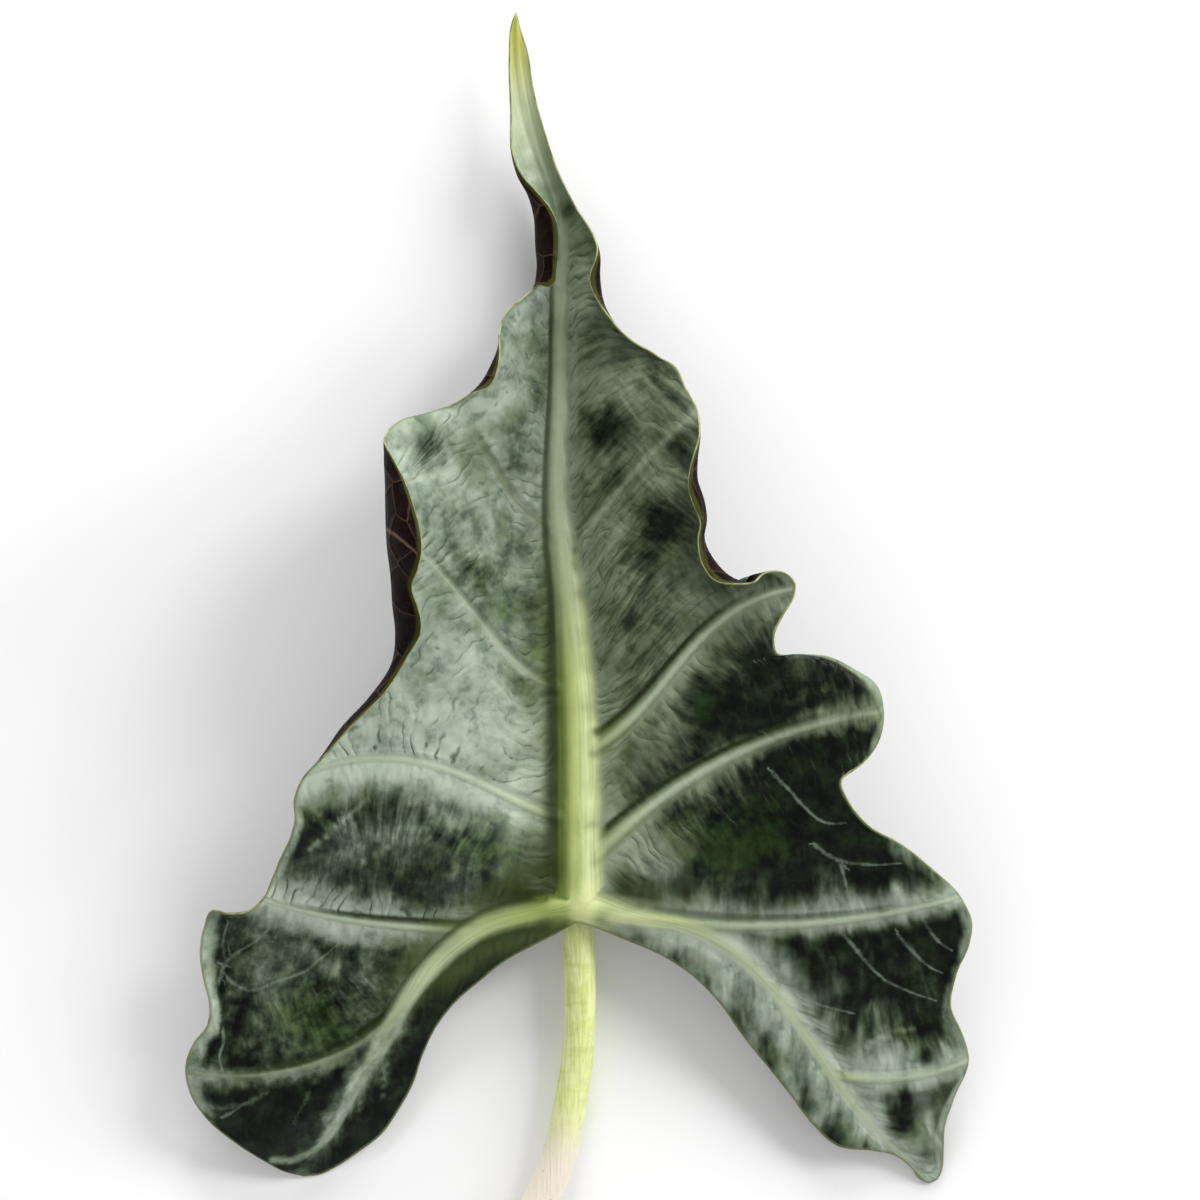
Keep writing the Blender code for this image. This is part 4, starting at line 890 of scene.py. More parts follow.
def reliefs(plan, outward, margin_step, half):
    """Half the thickness of the blade, and how far the ribs stand out above and below it."""
    edge = np.clip(outward - 1.0, 0.0, 1.0)
    half_thick = (BLADE_THICKNESS + (EDGE_THICKNESS - BLADE_THICKNESS) * edge) / 2
    fade = 1.0 - edge
    away, share = distance_to(plan, finer(MIDRIB))
    width, height, depth = columns_at(MIDRIB_PROFILE, share)
    above = fade * height * ridge(away, width)
    below = fade * depth * ridge(away, KEEL_SPREAD * width)
    clear = np.clip((away / width - CREASE_START) / CREASE_SPREAD, 0.0, 1.0)
    away, share = distance_to(plan, finer(half.lobe_rib))
    width, height, depth = columns_at(LOBE_RIB_PROFILE, share)
    clear = np.minimum(clear, np.clip((away / width - CREASE_START) / CREASE_SPREAD, 0.0, 1.0))
    above = np.maximum(above, fade * height * ridge(away, width))
    below = np.maximum(below, fade * depth * ridge(away, KEEL_SPREAD * width))
    nearest = np.full(len(plan), FAR_AWAY)
    for line, ends_at in half.rib_lines():
        away, share = distance_to(plan, line)
        nearest = np.minimum(nearest, away)
        width = RIB_HALF_WIDTH + (RIB_END_HALF_WIDTH - RIB_HALF_WIDTH) * share
        taper = fade * (1.0 - RIB_TAPER * share)
        above = np.maximum(above, taper * RIB_HEIGHT * ridge(away, width))
        below = np.maximum(below, taper * RIB_DEPTH * ridge(away, width))
        distal = margin_step < ends_at
        crease = np.where(distal, ridge(np.abs(away - CREASE_OFFSET), RIB_HALF_WIDTH / 2), 0.0) * clear
        above -= taper * CREASE_DEPTH * crease
        below += taper * CREASE_DEPTH * crease
    pucker = fade * PUCKER_HEIGHT * puckers(plan) * np.clip(nearest / PUCKER_CLEAR, 0.0, 1.0)
    return half_thick, above + pucker, below - pucker


def puckers(plan):
    """Low lumps of the blade, from -1 to 1."""
    total = np.zeros(len(plan))
    for length, direction, phase in PUCKERS:
        angle = math.radians(direction)
        place = plan[:, 0] * math.cos(angle) + plan[:, 1] * math.sin(angle)
        total += np.sin(2 * math.pi * place / length + phase + PUCKER_BEND * np.sin(total + place / length))
    return total / len(PUCKERS)


class Sheet:
    """The blade's middle surface as triangles. For each point it holds what reliefs gives."""

    def __init__(self):
        self.points = np.empty((0, 3))
        self.relief = np.empty((0, 3))
        self.marks = np.empty((0, len(MARKS)))
        self.triangles = []

    def add(self, points, relief, marks):
        """Adds rows of points and gives back their numbers."""
        first = len(self.points)
        self.marks = np.concatenate([self.marks, np.stack([marks[name].ravel() for name in MARKS], 1)])
        self.points = np.concatenate([self.points, points.reshape(-1, 3)])
        self.relief = np.concatenate([self.relief, np.stack(relief, 1)])
        return first + np.arange(len(self.points) - first).reshape(points.shape[:2])

    def join_grid(self, index, turned):
        """Two triangles for each cell of a grid, cut along its shorter diagonal, turned over if asked."""
        a, b, c, d = index[:-1, :-1], index[1:, :-1], index[1:, 1:], index[:-1, 1:]
        a, b, c, d = (corner.ravel() for corner in (a, b, c, d))
        p = self.points
        short = np.linalg.norm(p[a] - p[c], axis=1) <= np.linalg.norm(p[b] - p[d], axis=1)
        first = np.where(short[:, None], np.stack([a, b, c], 1), np.stack([a, b, d], 1))
        second = np.where(short[:, None], np.stack([a, c, d], 1), np.stack([b, c, d], 1))
        cells = np.concatenate([first, second])
        self.triangles.append(cells[:, ::-1] if turned else cells)

    def join_lines(self, left, left_at, right, right_at):
        """Triangles between two lines of points that run side by side."""
        i = j = 0
        found = []
        while i < len(left) - 1 or j < len(right) - 1:
            if j == len(right) - 1 or (i < len(left) - 1 and left_at[i + 1] <= right_at[j + 1]):
                found.append((left[i], left[i + 1], right[j]))
                i += 1
            else:
                found.append((left[i], right[j + 1], right[j]))
                j += 1
        self.triangles.append(np.array(found))

    def weld(self, within=1e-3):
        """Points that coincide made one, and triangles that collapsed dropped."""
        _, first, index = np.unique(
            np.round(self.points / within).astype(np.int64), axis=0, return_index=True, return_inverse=True
        )
        triangles = index.reshape(-1)[np.concatenate(self.triangles)]
        whole = (
            (triangles[:, 0] != triangles[:, 1])
            & (triangles[:, 1] != triangles[:, 2])
            & (triangles[:, 0] != triangles[:, 2])
        )
        self.points, self.relief, self.marks = self.points[first], self.relief[first], self.marks[first]
        self.triangles = triangles[whole]

    def normals(self):
        """Unit normal at each point, the mean of its triangles by area."""
        corners = self.points[self.triangles]
        across = np.cross(corners[:, 1] - corners[:, 0], corners[:, 2] - corners[:, 0])
        total = np.zeros_like(self.points)
        for k in range(3):
            np.add.at(total, self.triangles[:, k], across)
        return total / np.linalg.norm(total, axis=1, keepdims=True)

    def calmed(self, points):
        """Points near the midrib and the lobes' ribs moved towards the mean of their neighbours."""
        ends = np.concatenate([self.triangles[:, pair] for pair in ([0, 1], [1, 2], [2, 0])])
        ends = np.unique(np.sort(ends, 1), axis=0)
        count = np.bincount(ends.ravel(), minlength=len(points))[:, None]
        off, edge = (self.marks[:, MARKS.index(name)] for name in ("off", "edge"))
        weight = np.clip((CALM_REACH - off) / CALM_FADE, 0.0, 1.0) * np.clip(edge / CALM_FADE, 0.0, 1.0)
        for _ in range(CALM_ROUNDS):
            total = np.zeros_like(points)
            np.add.at(total, ends[:, 0], points[ends[:, 1]])
            np.add.at(total, ends[:, 1], points[ends[:, 0]])
            points = points + weight[:, None] * (total / count - points)
        return points

    def closed(self):
        """Points, triangles and the marks of the solid between the two faces, with a rounded rim."""
        count = len(self.points)
        normal = self.normals()
        offset = normal * self.relief[:, :1]
        upper, lower = self.points + offset, self.points - offset
        upper[:, 2] += self.relief[:, 1]
        lower[:, 2] -= self.relief[:, 2]
        upper, lower = self.calmed(upper), self.calmed(lower)
        lower[:, 2] = np.maximum(lower[:, 2], REST_HEIGHT)
        upper[:, 2] = np.maximum(upper[:, 2], REST_HEIGHT + EDGE_THICKNESS)
        ends = np.concatenate([self.triangles[:, pair] for pair in ([0, 1], [1, 2], [2, 0])])
        _, index, times = np.unique(np.sort(ends, 1), axis=0, return_index=True, return_counts=True)
        rim = ends[index[times == 1]]
        outward = np.zeros_like(self.points)
        side = np.cross(self.points[rim[:, 1]] - self.points[rim[:, 0]], normal[rim[:, 0]])
        np.add.at(outward, rim[:, 0], side)
        np.add.at(outward, rim[:, 1], side)
        edge = np.unique(rim)
        length = np.linalg.norm(outward[edge], axis=1, keepdims=True)
        bulge = outward[edge] / np.maximum(length, 1e-9) * (RIM_BULGE * self.relief[edge, :1])
        middle = (upper[edge] + lower[edge]) / 2 + bulge
        number = np.zeros(count, int)
        number[edge] = 2 * count + np.arange(len(edge))
        a, b = rim[:, 0], rim[:, 1]
        walls = [(b, a, number[a]), (b, number[a], number[b])]
        walls += [(number[b], number[a], a + count), (number[b], a + count, b + count)]
        walls = np.concatenate([np.stack(wall, 1) for wall in walls])
        faces = [self.triangles, self.triangles[:, ::-1] + count, walls]
        kinds = np.repeat([0, 1, 2], [len(part) for part in faces])
        marks = np.concatenate([self.marks, self.marks, self.marks[edge]])
        return np.concatenate([upper, lower, middle]), np.concatenate(faces), kinds, marks


def blade_sheet(halves):
    """The middle surface of the whole blade."""
    sheet = Sheet()
    crest = {}
    for half in halves:
        steps = half.lines(LINE_SPACING)
        points, outward = half.sheet(steps, FLAT_SHARES, CURL_SHARES)
        spread = np.repeat(steps, points.shape[1])
        relief = reliefs(points.reshape(-1, 3)[:, :2], outward.ravel(), spread, half)
        marks = marks_of(half, steps, points, outward, False)
        index = sheet.add(points, relief, marks)
        sheet.join_grid(index, half.side < 0)
        inner = half.inner_at(steps)
        past = inner >= half.meeting - 1e-3
        strip = half.strip(steps[past], STRIP_SHARES)
        outward = np.tile(np.array(STRIP_SHARES) * 2.0, (len(strip), 1))
        spread = np.repeat(steps[past], strip.shape[1])
        relief = reliefs(strip.reshape(-1, 3)[:, :2], outward.ravel(), spread, half)
        whole = np.concatenate([points[past][:, :1], strip], 1)
        marks = marks_of(half, steps[past], whole, np.pad(outward, ((0, 0), (1, 0))), True)
        marks = {name: values[:, 1:] for name, values in marks.items()}
        strip_index = sheet.add(strip, relief, marks)
        strip_index = np.concatenate([index[past][:, :1], strip_index], 1)
        sheet.join_grid(strip_index, half.side > 0)
        before = inner <= half.meeting + 1e-3
        crest[half.side] = (index[before][:, 0], inner[before], strip_index[0])
    left, right = crest[-1], crest[1]
    sheet.join_lines(left[0], left[1], right[0], right[1])
    down = np.arange(len(left[2]))
    sheet.join_lines(left[2], down, right[2], down)
    sheet.weld()
    return sheet


def tube(path, along, sides):
    """Points and faces of a closed tube along a path of X, Y, Z and radius, with flat ends."""
    centre = path[:, :3]
    across = np.cross(along, (0.0, 0.0, 1.0))
    across /= np.linalg.norm(across, axis=1, keepdims=True)
    up = np.cross(across, along)
    turn = np.arange(sides) * 2 * math.pi / sides
    ring = np.cos(turn)[None, :, None] * across[:, None] + np.sin(turn)[None, :, None] * up[:, None]
    points = (centre[:, None] + path[:, 3][:, None, None] * ring).reshape(-1, 3)
    faces = [tuple(range(sides))]
    for i in range(len(path) - 1):
        for j in range(sides):
            low, high = i * sides, (i + 1) * sides
            after = (j + 1) % sides
            faces.append((low + j, high + j, high + after, low + after))
    faces.append(tuple(reversed(range((len(path) - 1) * sides, len(path) * sides))))
    return points, faces


def stalk_path(start, end):
    """Points and directions of the stalk's path between two distances along it."""
    keys = steps_along(STALK)
    at = np.linspace(start, end, 1 + int(math.ceil((end - start) / STALK_STEP)))
    ahead = smooth(keys, np.array(STALK), np.minimum(at + TINY_STEP, keys[-1]))[:, :3]
    behind = smooth(keys, np.array(STALK), np.maximum(at - TINY_STEP, 0.0))[:, :3]
    along = (ahead - behind) / np.linalg.norm(ahead - behind, axis=1, keepdims=True)
    return smooth(keys, np.array(STALK), at), along


class Value:
    """What a node gives out. Sums and products of it add the nodes that work them out."""

    def __init__(self, nodes, socket):
        self.nodes = nodes
        self.socket = socket

    def __add__(self, other):
        return self.nodes.math("ADD", self, other)

    def __sub__(self, other):
        return self.nodes.math("SUBTRACT", self, other)

    def __rsub__(self, other):
        return self.nodes.math("SUBTRACT", other, self)

    def __mul__(self, other):
        return self.nodes.math("MULTIPLY", self, other)

    def __truediv__(self, other):
        return self.nodes.math("DIVIDE", self, other)

    def __abs__(self):
        return self.nodes.math("ABSOLUTE", self)

    __radd__ = __add__
    __rmul__ = __mul__


class Nodes:
    """A material's nodes, added one by one."""

    def __init__(self, name):
        self.material = bpy.data.materials.new(name)
        self.material.use_nodes = True
        self.tree = self.material.node_tree
        self.shader = self.tree.nodes["Principled BSDF"]

    def new(self, kind, values, output=0, **settings):
        """A node with its settings and inputs, and gives back one of its outputs."""
        node = self.tree.nodes.new(kind)
        for name, value in settings.items():
            setattr(node, name, value)
        for key, value in values.items():
            if isinstance(value, Value):
                self.tree.links.new(value.socket, node.inputs[key])
            else:
                node.inputs[key].default_value = value
        return Value(self, node.outputs[output])

    def mark(self, name):
        return self.new("ShaderNodeAttribute", {}, "Fac", attribute_type="GEOMETRY", attribute_name=name)

    def place(self):
        """The place of the point in the object, in metres."""
        return self.new("ShaderNodeTexCoord", {}, "Object")

    def math(self, operation, a, b=0.0):
        return self.new("ShaderNodeMath", {0: a, 1: b}, operation=operation)

    def most(self, a, b):
        return self.math("MAXIMUM", a, b)

    def vector(self, x, y, z=0.0):
        return self.new("ShaderNodeCombineXYZ", {0: x, 1: y, 2: z})

    def split(self, vector):
        """The X, Y and Z of a vector."""
        return [self.new("ShaderNodeSeparateXYZ", {0: vector}, i) for i in range(3)]

    def noise(self, vector, scale=1.0, detail=2.0, roughness=0.5, output=0):
        values = {"Vector": vector, "Scale": scale, "Detail": detail, "Roughness": roughness}
        return self.new("ShaderNodeTexNoise", values, output)

    def cells(self, vector, scale):
        """Distance to the nearest edge between cells."""
        values = {"Vector": vector, "Scale": scale}
        return self.new("ShaderNodeTexVoronoi", values, feature="DISTANCE_TO_EDGE")

    def rise(self, value, low, high):
        """0 below low, 1 above high, and smooth between. It falls where low is above high."""
        values = {0: value, 1: low, 2: high, 3: 0.0, 4: 1.0}
        return self.new("ShaderNodeMapRange", values, interpolation_type="SMOOTHSTEP")

    def mix(self, share, a, b):
        """Colour a where the share is 0 and colour b where it is 1."""
        a = (*a, 1.0) if isinstance(a, tuple) else a
        b = (*b, 1.0) if isinstance(b, tuple) else b
        return self.new("ShaderNodeMix", {0: share, 6: a, 7: b}, 2, data_type="RGBA")

    def blend(self, share, a, b):
        """The same for plain numbers."""
        return self.new("ShaderNodeMix", {0: share, 2: a, 3: b}, 0, data_type="FLOAT")

    def finish(self, colour, roughness, height, depth, **shine):
        """Joins colour, roughness and the bumps, whose height is a share of a depth in metres."""
        bump = self.new("ShaderNodeBump", {"Height": height, "Distance": depth, "Strength": 1.0})
        for name, value in (("Base Color", colour), ("Roughness", roughness), ("Normal", bump)):
            self.tree.links.new(value.socket, self.shader.inputs[name])
        for name, value in shine.items():
            self.shader.inputs[name.replace("_", " ")].default_value = value
        return self.material


def srgb(red, green, blue):
    """A colour given in 0 to 255 as seen on a screen."""
    shares = np.array([red, green, blue]) / 255.0
    linear = np.where(shares < 0.04045, shares / 12.92, ((shares + 0.055) / 1.055) ** 2.4)
    return tuple(float(value) for value in linear)


def upper_material():
    """The waxy silver and dark green upper face with its pale ribs."""
    n = Nodes("leaf_upper")
    names = ("run", "off", "core", "edge", "inner", "side", "silver", "past", "weave", "step")
    run, off, core, edge, inner, side, silver, past, weave, step = (n.mark(name) for name in names)
    which = n.rise(n.mark("which"), 0.0, 1.0)
    apart = side * 37.0
    place = n.place()
    off_crest = n.rise(run, 0.2, 1.4)
    wobble = (n.noise(place, 70.0, 2.0) - 0.5) * 4.0
    drawn = n.mark("barb") + wobble * 0.6
    blotch = n.noise(place, 75.0, 3.0, 0.55)
    cloud = n.noise(place, 210.0, 3.0, 0.6)
    fleck = n.noise(place, 560.0, 3.0, 0.6)

    def over_ribs(pattern):
        """A pattern laid out from the ribs of both channels and from the main ribs."""
        from_a = pattern(n.mark("a_u") + wobble, n.mark("a_v"), apart)
        from_b = pattern(n.mark("b_u") + wobble, n.mark("b_v"), apart + 11.0)
        from_main = pattern(drawn, run, apart + 23.0)
        return n.blend(off_crest, 0.5, n.blend(weave, n.blend(which, from_b, from_a), from_main))

    def streaks(thin, long, detail, seed):
        """Noise drawn out at right angles to the ribs."""
        def pattern(u, v, part):
            return n.noise(n.vector(u * thin, v * long, part + seed), 1.0, detail, 0.55)
        return over_ribs(pattern)

    def rungs(spacing, seed):
        """0 on the fine dark wrinkles that cross between the ribs, 0.5 halfway between two."""
        def pattern(u, v, part):
            bend = n.noise(n.vector(u * 0.10, v * 0.08, part + seed), 1.0, 2.0)
            return n.math("PINGPONG", u * (1.0 / spacing) + bend * 4.0, 0.5)
        return over_ribs(pattern)

    off_core = n.rise(off / core, 1.0, 1.4)
    streak = streaks(0.45, 0.10, 2.5, 0.0)
    coarse = streaks(0.20, 0.07, 2.0, 4.0)
    broken = streaks(0.40, 0.16, 1.0, 9.0)
    rung = rungs(3.3, 2.0)
    strand = n.noise(n.vector(drawn * 0.5, run * 0.06, apart), 1.0, 3.0, 0.6)
    strand_line = n.noise(n.vector(drawn * 0.42, run * 0.05, apart + 5.0), 1.0, 2.0, 0.6)
    # 1 away from the lateral ribs, where streaks and wrinkles may show.
    off_rib = 1.0
    weights = {"a_": which, "b_": 1.0 - which}
    for channel, weight in weights.items():
        near = n.rise(abs(n.mark(channel + "v")) / n.mark(channel + "width"), 1.9, 1.0)
        near = near * weight * n.rise(n.mark(channel + "line"), 0.2, 0.5)
        off_rib = (1.0 - near * 0.85) * off_rib
    on_right = n.rise(side, -0.5, 0.5)
    on_left = n.rise(side, 0.5, -0.5)
    # 1 beside the midrib on the right, where the streaks are longer and finer.
    fine_place = on_right * n.rise(step, 200.0, 180.0) * n.rise(weave, 0.0, 0.5) * n.rise(step, 80.0, 140.0)
    # How much silver shows. It frays into streaks where it ends.
    fray = n.rise(abs(silver - 0.45), n.blend(on_left, 0.5, 0.32), 0.05) * 0.6 + 0.15
    in_lobes = n.rise(step, 245.0, 265.0)
    fray = fray * off_rib * n.blend(in_lobes, 1.0, 0.6)
    level = silver + (streak - 0.5) * fray
    off_strip = n.rise(n.mark("strip"), 1.0, 0.0)
    right_lobe = n.rise(step, 255.0, 285.0) * on_right
    level = level + (coarse - 0.5) * n.blend(right_lobe, 0.35, 1.5)
    level = level + (blotch - 0.5) * n.blend(on_left, 0.6, 0.85)
    clouded = n.blend(in_lobes * on_left * off_strip, n.blend(on_left, 0.45, 0.7), 1.0)
    level = level + (cloud - 0.5) * clouded + (strand - 0.5) * 0.8 * fine_place
    shown = n.rise(level, 0.10, 0.78)
    greener = n.mark("green") + (cloud - 0.5) * 1.6 + (streak - 0.5) * 0.8
    greener = n.rise(greener, 0.20, 1.00) * (n.rise(fleck, 0.30, 0.65) * 0.5 + 0.5)
    dark = n.mix(n.rise(cloud, 0.36, 0.70), srgb(5, 11, 5), srgb(22, 34, 17))
    dark = n.mix(greener * 0.65, dark, srgb(38, 60, 23))
    pale = n.mix(n.rise(level, 0.30, 1.45), srgb(75, 90, 69), srgb(176, 189, 172))
    green = n.rise(blotch, 0.50, 0.36) * n.rise(level, 1.05, 0.75)
    green = n.most(green * 0.4, greener * n.rise(level, 1.2, 0.8))
    pale = n.mix(green, pale, srgb(84, 104, 64))
    pale = n.mix(n.rise(cloud, 0.47, 0.27) * 0.45, pale, srgb(86, 106, 94))
    warm = on_right * n.rise(step, 262.0, 240.0)
    pale = n.mix(warm * 0.4, pale, srgb(124, 134, 104))
    colour = n.mix(shown, dark, pale)
    # Fine dark wrinkles.
    plain_blade = n.rise(step, 30.0, 60.0) * off_core * off_rib
    beside_rib = 0.0
    behind_rib = 0.0
    for channel, weight in weights.items():
        signed = n.mark(channel + "v")
        barbs = n.rise(signed, -10.0, -5.0) * n.rise(signed, -0.5, -2.5)
        beside_rib = beside_rib + barbs * weight
        barbs = n.rise(signed, 0.0, 1.5) * n.rise(signed, 14.0, 10.0)
        behind_rib = behind_rib + barbs * weight
    behind_rib = behind_rib * on_left * n.rise(step, 180.0, 200.0)
    beside_rib = beside_rib * on_left * n.rise(step, 130.0, 150.0) * n.rise(run, 6.0, 14.0)
    unbroken = n.most(n.rise(broken, 0.44, 0.62), beside_rib * n.rise(blotch, 0.4, 0.6) * 0.5)
    fold = n.rise(rung + (fleck - 0.5) * 0.16, 0.17, 0.0) * unbroken
    fold = fold * plain_blade * n.rise(step, 256.0, 250.0) * n.rise(behind_rib, 0.6, 0.0)
    bold = beside_rib * 0.35 + 0.5
    colour = n.mix(fold * n.blend(shown, 0.1, bold), colour, srgb(48, 62, 42))
    # Finer ones beside the midrib on the right.
    fine_fold = n.rise(abs(strand_line - 0.47), 0.045, 0.0) * n.rise(strand, 0.66, 0.46)
    fine_fold = fine_fold * plain_blade * fine_place
    colour = n.mix(fine_fold * 0.6, colour, srgb(38, 52, 36))
    # Thin veins.
    minor = n.most(abs(n.mark("minor")), n.mark("minor_far") - 1.2) + (fleck - 0.5) * 1.3
    minor_line = n.rise(minor, 0.8, 0.0) * (n.rise(cloud, 0.35, 0.6) * 0.65 + 0.25)
    colour = n.mix(minor_line * 0.75, colour, srgb(116, 132, 114))
    # Lateral ribs, with painted shade in the fold on the side of the tip. The left ones near the tip are thin
    # and dull.
    begun = n.rise(run, 0.4, 1.6)
    thin_ribs = on_left * n.most(n.rise(step, 165.0, 135.0), n.rise(step, 270.0, 290.0) * 0.8)
    for channel, weight in weights.items():
        along, signed = n.mark(channel + "share"), n.mark(channel + "v")
        width = n.mark(channel + "width")
        weight = begun * weight
        crease = (signed + width * 1.65) / n.blend(along, 1.9, 0.9)
        crease = n.rise(abs(crease), 1.0, 0.25) * n.rise(along, 1.0, 0.55)
        colour = n.mix(crease * n.mark(channel + "fold") * weight, colour, srgb(34, 45, 20))
        shown_line = n.mark(channel + "line") * weight
        away = (abs(signed) + (fleck - 0.5) * 0.4 + (streak - 0.5) * 0.8) / width
        shoulder = n.mix(n.rise(along, 0.0, 0.4), srgb(126, 144, 84), srgb(124, 140, 112))
        colour = n.mix(n.rise(away, 1.8, 0.8) * shown_line * n.blend(thin_ribs, 0.7, 0.0), colour, shoulder)
        crest = n.mix(n.rise(along, 0.0, 0.35), srgb(182, 196, 146), srgb(176, 189, 164))
        crest = n.mix(thin_ribs, crest, srgb(100, 108, 74))
        colour = n.mix(n.rise(away, 0.95, 0.1) * shown_line, colour, crest)
    # Midrib and the ribs of the lobes.
    main = (off + (streak - 0.5) * 0.8) / core
    grain = n.noise(n.vector(side * run * 1.3, inner * 0.03), 1.0, 3.0, 0.6)
    yellow = n.rise(inner, 115.0, 175.0)
    leftward = side * off / core
    # The midrib's left side is painted shade and its right side painted light, on top of its own
    # yellow-green.
    main_colour = n.mix(yellow, srgb(174, 186, 154), srgb(168, 182, 112))
    shade = n.mix(yellow, srgb(140, 153, 118), srgb(74, 90, 32))
    light = n.mix(yellow, srgb(172, 185, 158), srgb(194, 204, 150))
    main_colour = n.mix(n.rise(leftward, -0.05, -0.8), main_colour, shade)
    main_colour = n.mix(n.rise(leftward, 0.0, 0.5), main_colour, light)
    grained = n.rise(grain, 0.42, 0.68)
    main_colour = n.mix(grained * n.blend(yellow, 0.1, 0.3), main_colour, srgb(110, 126, 66))
    on_midrib = n.rise(past, 1.0, 0.0)
    # Painted shadow in a dark line along the left foot of the midrib and the start of the lobe's rib.
    groove_shadow = leftward + 1.08
    groove_shadow = n.most(groove_shadow * n.blend(yellow, 0.5, 1.0), groove_shadow * n.blend(yellow, -1.0, -0.4))
    groove_shadow = n.rise(groove_shadow, 0.32, 0.05) * on_midrib * n.rise(inner, 50.0, 85.0)
    shown_main = n.rise(main, 1.4, 0.8) * on_midrib * n.rise(inner, 50.0, 80.0) * n.blend(yellow, 0.6, 1.0)
    # Painted olive shade beside the main ribs, stronger on the left.
    olive_shade = n.rise(off / core, 3.2, 1.0) * yellow * n.rise(step, 300.0, 270.0) * n.blend(on_left, 0.3, 0.6)
    colour = n.mix(olive_shade, colour, srgb(82, 96, 52))
    colour = n.mix(shown_main, colour, main_colour)
    colour = n.mix(groove_shadow * n.blend(yellow, 0.8, 0.95), colour, srgb(38, 48, 18))
    # Painted shade in the fold on the margin's side of a lobe's rib.
    lobe_fold_shade = n.rise(abs(off / core - 0.92), 0.35, 0.05) * n.mark("lobe_fold_shade")
    colour = n.mix(lobe_fold_shade * 0.9, colour, srgb(36, 48, 18))
    lobe_line = n.rise(main, n.blend(right_lobe, 1.15, 0.65), 0.15)
    # On the left its sinus side falls away, with painted olive shade.
    falling_shade = n.rise(off_strip, 1.0, 0.0) * on_left * past * n.rise(inner, 290.0, 275.0)
    lobe_line = n.blend(falling_shade, lobe_line, n.rise(main, 1.8, 0.8))
    lobe_start = n.mix(on_left, srgb(198, 207, 150), srgb(166, 182, 96))
    lobe_colour = n.mix(n.rise(inner, 230.0, 268.0), lobe_start, srgb(184, 196, 158))
    lobe_colour = n.mix(grained * 0.35, lobe_colour, srgb(118, 134, 76))
    lobe_colour = n.mix(falling_shade * n.rise(main, 0.1, 1.0), lobe_colour, srgb(46, 60, 28))
    lobe_line = lobe_line * past * n.mark("lobe_line")
    colour = n.mix(lobe_line, colour, lobe_colour)
    # The knot where the stalk joins, and painted shade in the hollows round it.
    hollow_shade = n.rise(n.mark("hollow_shade") + (cloud - 0.5) * 0.4, 0.1, 1.0)
    colour = n.mix(hollow_shade * 0.85, colour, srgb(38, 48, 10))
    knot = n.rise(n.mark("knot") + (cloud - 0.5) * 0.5, 0.15, 0.95)
    colour = n.mix(knot * 0.7, colour, srgb(206, 212, 152))
    # The margin's own thin line.
    rim = n.rise(edge + (fleck - 0.5) * 0.5, 0.8, 0.2)
    colour = n.mix(rim * 0.7, colour, srgb(112, 120, 84))
    # Yellow-green tip.
    tip = n.rise(step, 52.0, 14.0)
    tip_colour = n.mix(n.rise(grain, 0.4, 0.65), srgb(196, 203, 172), srgb(178, 189, 142))
    tip_colour = n.mix(n.rise(step, 26.0, 3.0), tip_colour, srgb(182, 184, 82))
    colour = n.mix(tip * 0.92, colour, tip_colour)
    rough = n.blend(shown, 0.34, 0.5) + (fleck - 0.5) * 0.2
    height = (streak - 0.5) * 0.25 + (coarse - 0.5) * 0.85 + n.rise(rung, 0.0, 0.5) * 0.16
    height = height + (strand - 0.5) * fine_place * 0.25 - fold * 0.14
    height = height * plain_blade + fleck * 0.07
    return n.finish(colour, rough, height, 0.0009, Specular_IOR_Level=0.12)


def under_material():
    """The maroon underside with its paler veins."""
    n = Nodes("leaf_under")
    across, run = n.mark("across"), n.mark("run")
    place = n.place()
    mottle = n.noise(place, 240.0, 3.0, 0.6)
    fine = n.noise(place, 1400.0, 2.0, 0.5)
    bent = n.noise(place, 120.0, output="Color")
    bent = n.new("ShaderNodeMix", {0: 0.002, 4: place, 5: bent}, 1, data_type="VECTOR")
    net = n.cells(bent, 90.0)
    fine_net = n.cells(bent, 300.0)
    edge = n.mark("edge")
    colour = n.mix(n.rise(mottle, 0.35, 0.7), srgb(6, 2, 2), srgb(22, 7, 5))
    colour = n.mix(n.rise(fine_net, 0.05, 0.01) * 0.2, colour, srgb(58, 32, 26))
    colour = n.mix(n.rise(net, 0.022, 0.0) * 0.42, colour, srgb(96, 74, 54))
    beyond = n.most(abs(across), n.mark("rib_far") - 1.5) + (mottle - 0.5) * 1.2
    rib = n.most(n.rise(beyond, 0.7, 0.15), n.rise(run / n.mark("core"), 1.0, 0.4))
    colour = n.mix(rib * 0.7, colour, srgb(112, 90, 66))
    rim = n.rise(edge + (mottle - 0.5) * 0.8, 1.7, 0.7)
    colour = n.mix(rim * 0.8, colour, srgb(62, 66, 26))
    rough = fine * 0.2 + 0.42
    height = n.rise(net, 0.10, 0.0) * 0.8 + fine * 0.2
    return n.finish(colour, rough, height, 0.0004, Specular_IOR_Level=0.05)


def rim_material():
    """The margin's thin rounded edge."""
    n = Nodes("leaf_rim")
    place = n.place()
    mottle = n.noise(place, 300.0, 2.0, 0.5)
    colour = n.mix(n.rise(mottle, 0.35, 0.7), srgb(150, 158, 108), srgb(104, 104, 62))
    return n.finish(colour, mottle * 0.2 + 0.4, mottle, 0.0003, Specular_IOR_Level=0.4)


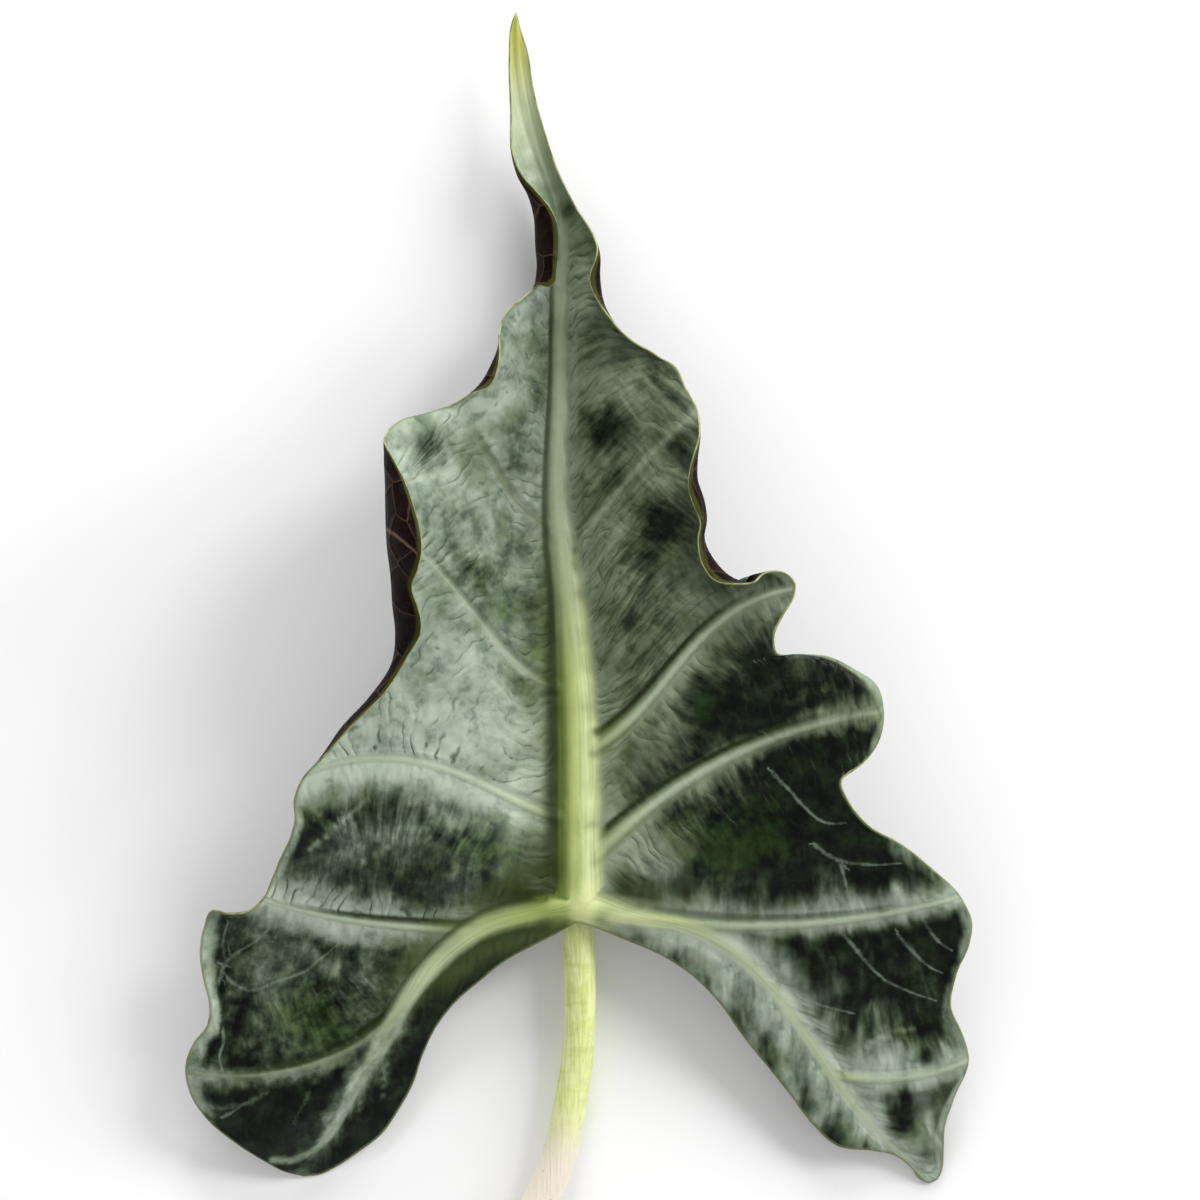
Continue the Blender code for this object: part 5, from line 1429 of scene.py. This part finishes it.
def stalk_material():
    """The smooth pale stalk, mottled green and paler towards its cut."""
    n = Nodes("stalk")
    place = n.place()
    x, y, z = n.split(place)
    stretched = n.vector(x * 3.0, y, z * 3.0)
    mottle = n.noise(stretched, 130.0, 3.0, 0.6)
    bars = n.noise(n.vector(x * 0.6, y * 2.6, z), 120.0, 3.0, 0.6)
    grain = n.noise(n.vector(x * 9.0, y * 0.6, z * 9.0), 160.0, 2.0)
    speck = n.noise(place, 520.0, 1.0)
    green = n.mix(n.rise(grain, 0.4, 0.65), srgb(216, 222, 158), srgb(200, 209, 138))
    colour = n.mix(n.rise(mottle, 0.45, 0.68) * 0.6, green, srgb(180, 194, 96))
    colour = n.mix(n.rise(bars, 0.5, 0.7) * 0.35, colour, srgb(164, 180, 84))
    fade = n.rise(y, -0.116, -0.134)
    colour = n.mix(fade, colour, srgb(224, 214, 196))
    colour = n.mix(n.rise(speck, 0.74, 0.80) * 0.7, colour, srgb(96, 92, 54))
    rough = mottle * 0.15 + 0.34
    return n.finish(colour, rough, grain + mottle * 0.4, 0.0003, Specular_IOR_Level=0.45)


def new_piece(name, points, faces, materials, kinds=None, marks=None):
    """A mesh object in the row frame from points in millimetres."""
    mesh = bpy.data.meshes.new(name)
    mesh.from_pydata(((points - ORIGIN) * MM).tolist(), [], [tuple(int(i) for i in f) for f in faces])
    mesh.shade_smooth()
    for material in materials:
        mesh.materials.append(material)
    if kinds is not None:
        mesh.polygons.foreach_set("material_index", np.asarray(kinds, np.int32))
    if marks is not None:
        for i, mark in enumerate(MARKS):
            layer = mesh.attributes.new(mark, "FLOAT", "POINT")
            layer.data.foreach_set("value", np.ascontiguousarray(marks[:, i], np.float32))
    made = bpy.data.objects.new(name, mesh)
    bpy.context.scene.collection.objects.link(made)
    return made


def add_leaf():
    """The blade and the stalk in place of the CAD nodes."""
    left = Half(-1, MARGIN_LEFT, LOBE_RIB_LEFT, SINUS_LEFT, RIBS_LEFT, SLOPES_LEFT, SINUS_SLOPE_LEFT)
    right = Half(1, MARGIN_RIGHT, LOBE_RIB_RIGHT, SINUS_RIGHT, RIBS_RIGHT, SLOPES_RIGHT, SINUS_SLOPE_RIGHT)
    points, faces, kinds, marks = blade_sheet([left, right]).closed()
    materials = [upper_material(), under_material(), rim_material()]
    blade = new_piece("blade", points, faces, materials, kinds, marks)
    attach(blade, "root")
    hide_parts("leaf_blade")
    points, faces = tube(*stalk_path(0.0, steps_along(STALK)[-1]), STALK_SIDES)
    stalk = new_piece("stalk", points, faces, [stalk_material()])
    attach(stalk, "root")
    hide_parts("petiole")


def add_stage():
    """A pale floor, the camera straight above and soft light from the right."""
    scene = bpy.context.scene
    floor = bpy.data.meshes.new("floor")
    corners = [(x * FLOOR_HALF_WIDTH, y * FLOOR_HALF_WIDTH, 0.0) for x, y in FLOOR_CORNERS]
    floor.from_pydata(corners, [], [(0, 1, 2, 3)])
    n = Nodes("floor_pale")
    place = n.place()
    mottle = n.noise(place, 30.0, 2.0)
    colour = n.mix(mottle, (0.86, 0.86, 0.86), (0.88, 0.88, 0.88))
    floor.materials.append(n.finish(colour, mottle * 0.05 + 0.7, mottle, 0.0))
    made = bpy.data.objects.new("floor", floor)
    scene.collection.objects.link(made)
    target = Vector((VIEW_X, VIEW_Y, VIEW_HEIGHT))
    data = bpy.data.cameras.new("camera")
    camera = bpy.data.objects.new("camera", data)
    scene.collection.objects.link(camera)
    camera.location = (VIEW_X, VIEW_Y, CAMERA_HEIGHT)
    data.sensor_width = SENSOR
    data.lens = SENSOR * (CAMERA_HEIGHT - VIEW_HEIGHT) / VIEW_WIDTH
    data.clip_end = CAMERA_REACH
    scene.camera = camera
    for name, offset, size, power in LIGHTS:
        light = bpy.data.lights.new(name, "AREA")
        light.shape = "DISK"
        light.size = size
        light.energy = power
        lamp = bpy.data.objects.new(name, light)
        scene.collection.objects.link(lamp)
        lamp.location = target + Vector(offset)
        lamp.rotation_euler = Vector(offset).to_track_quat("Z", "Y").to_euler()
    world = bpy.data.worlds.new("studio")
    world.use_nodes = True
    tree = world.node_tree
    place = tree.nodes.new("ShaderNodeTexCoord")
    parts = tree.nodes.new("ShaderNodeSeparateXYZ")
    tree.links.new(place.outputs["Generated"], parts.inputs[0])
    height = tree.nodes.new("ShaderNodeMapRange")
    tree.links.new(parts.outputs["Z"], height.inputs["Value"])
    height.inputs["To Min"].default_value = WORLD_LOW
    height.inputs["To Max"].default_value = WORLD_HIGH
    tree.links.new(height.outputs["Result"], tree.nodes["Background"].inputs["Strength"])
    tree.nodes["Background"].inputs["Color"].default_value = (1.0, 1.0, 1.0, 1.0)
    scene.world = world
    scene.view_settings.view_transform = "Standard"
    scene.view_settings.look = "None"


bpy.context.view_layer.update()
add_leaf()
add_stage()
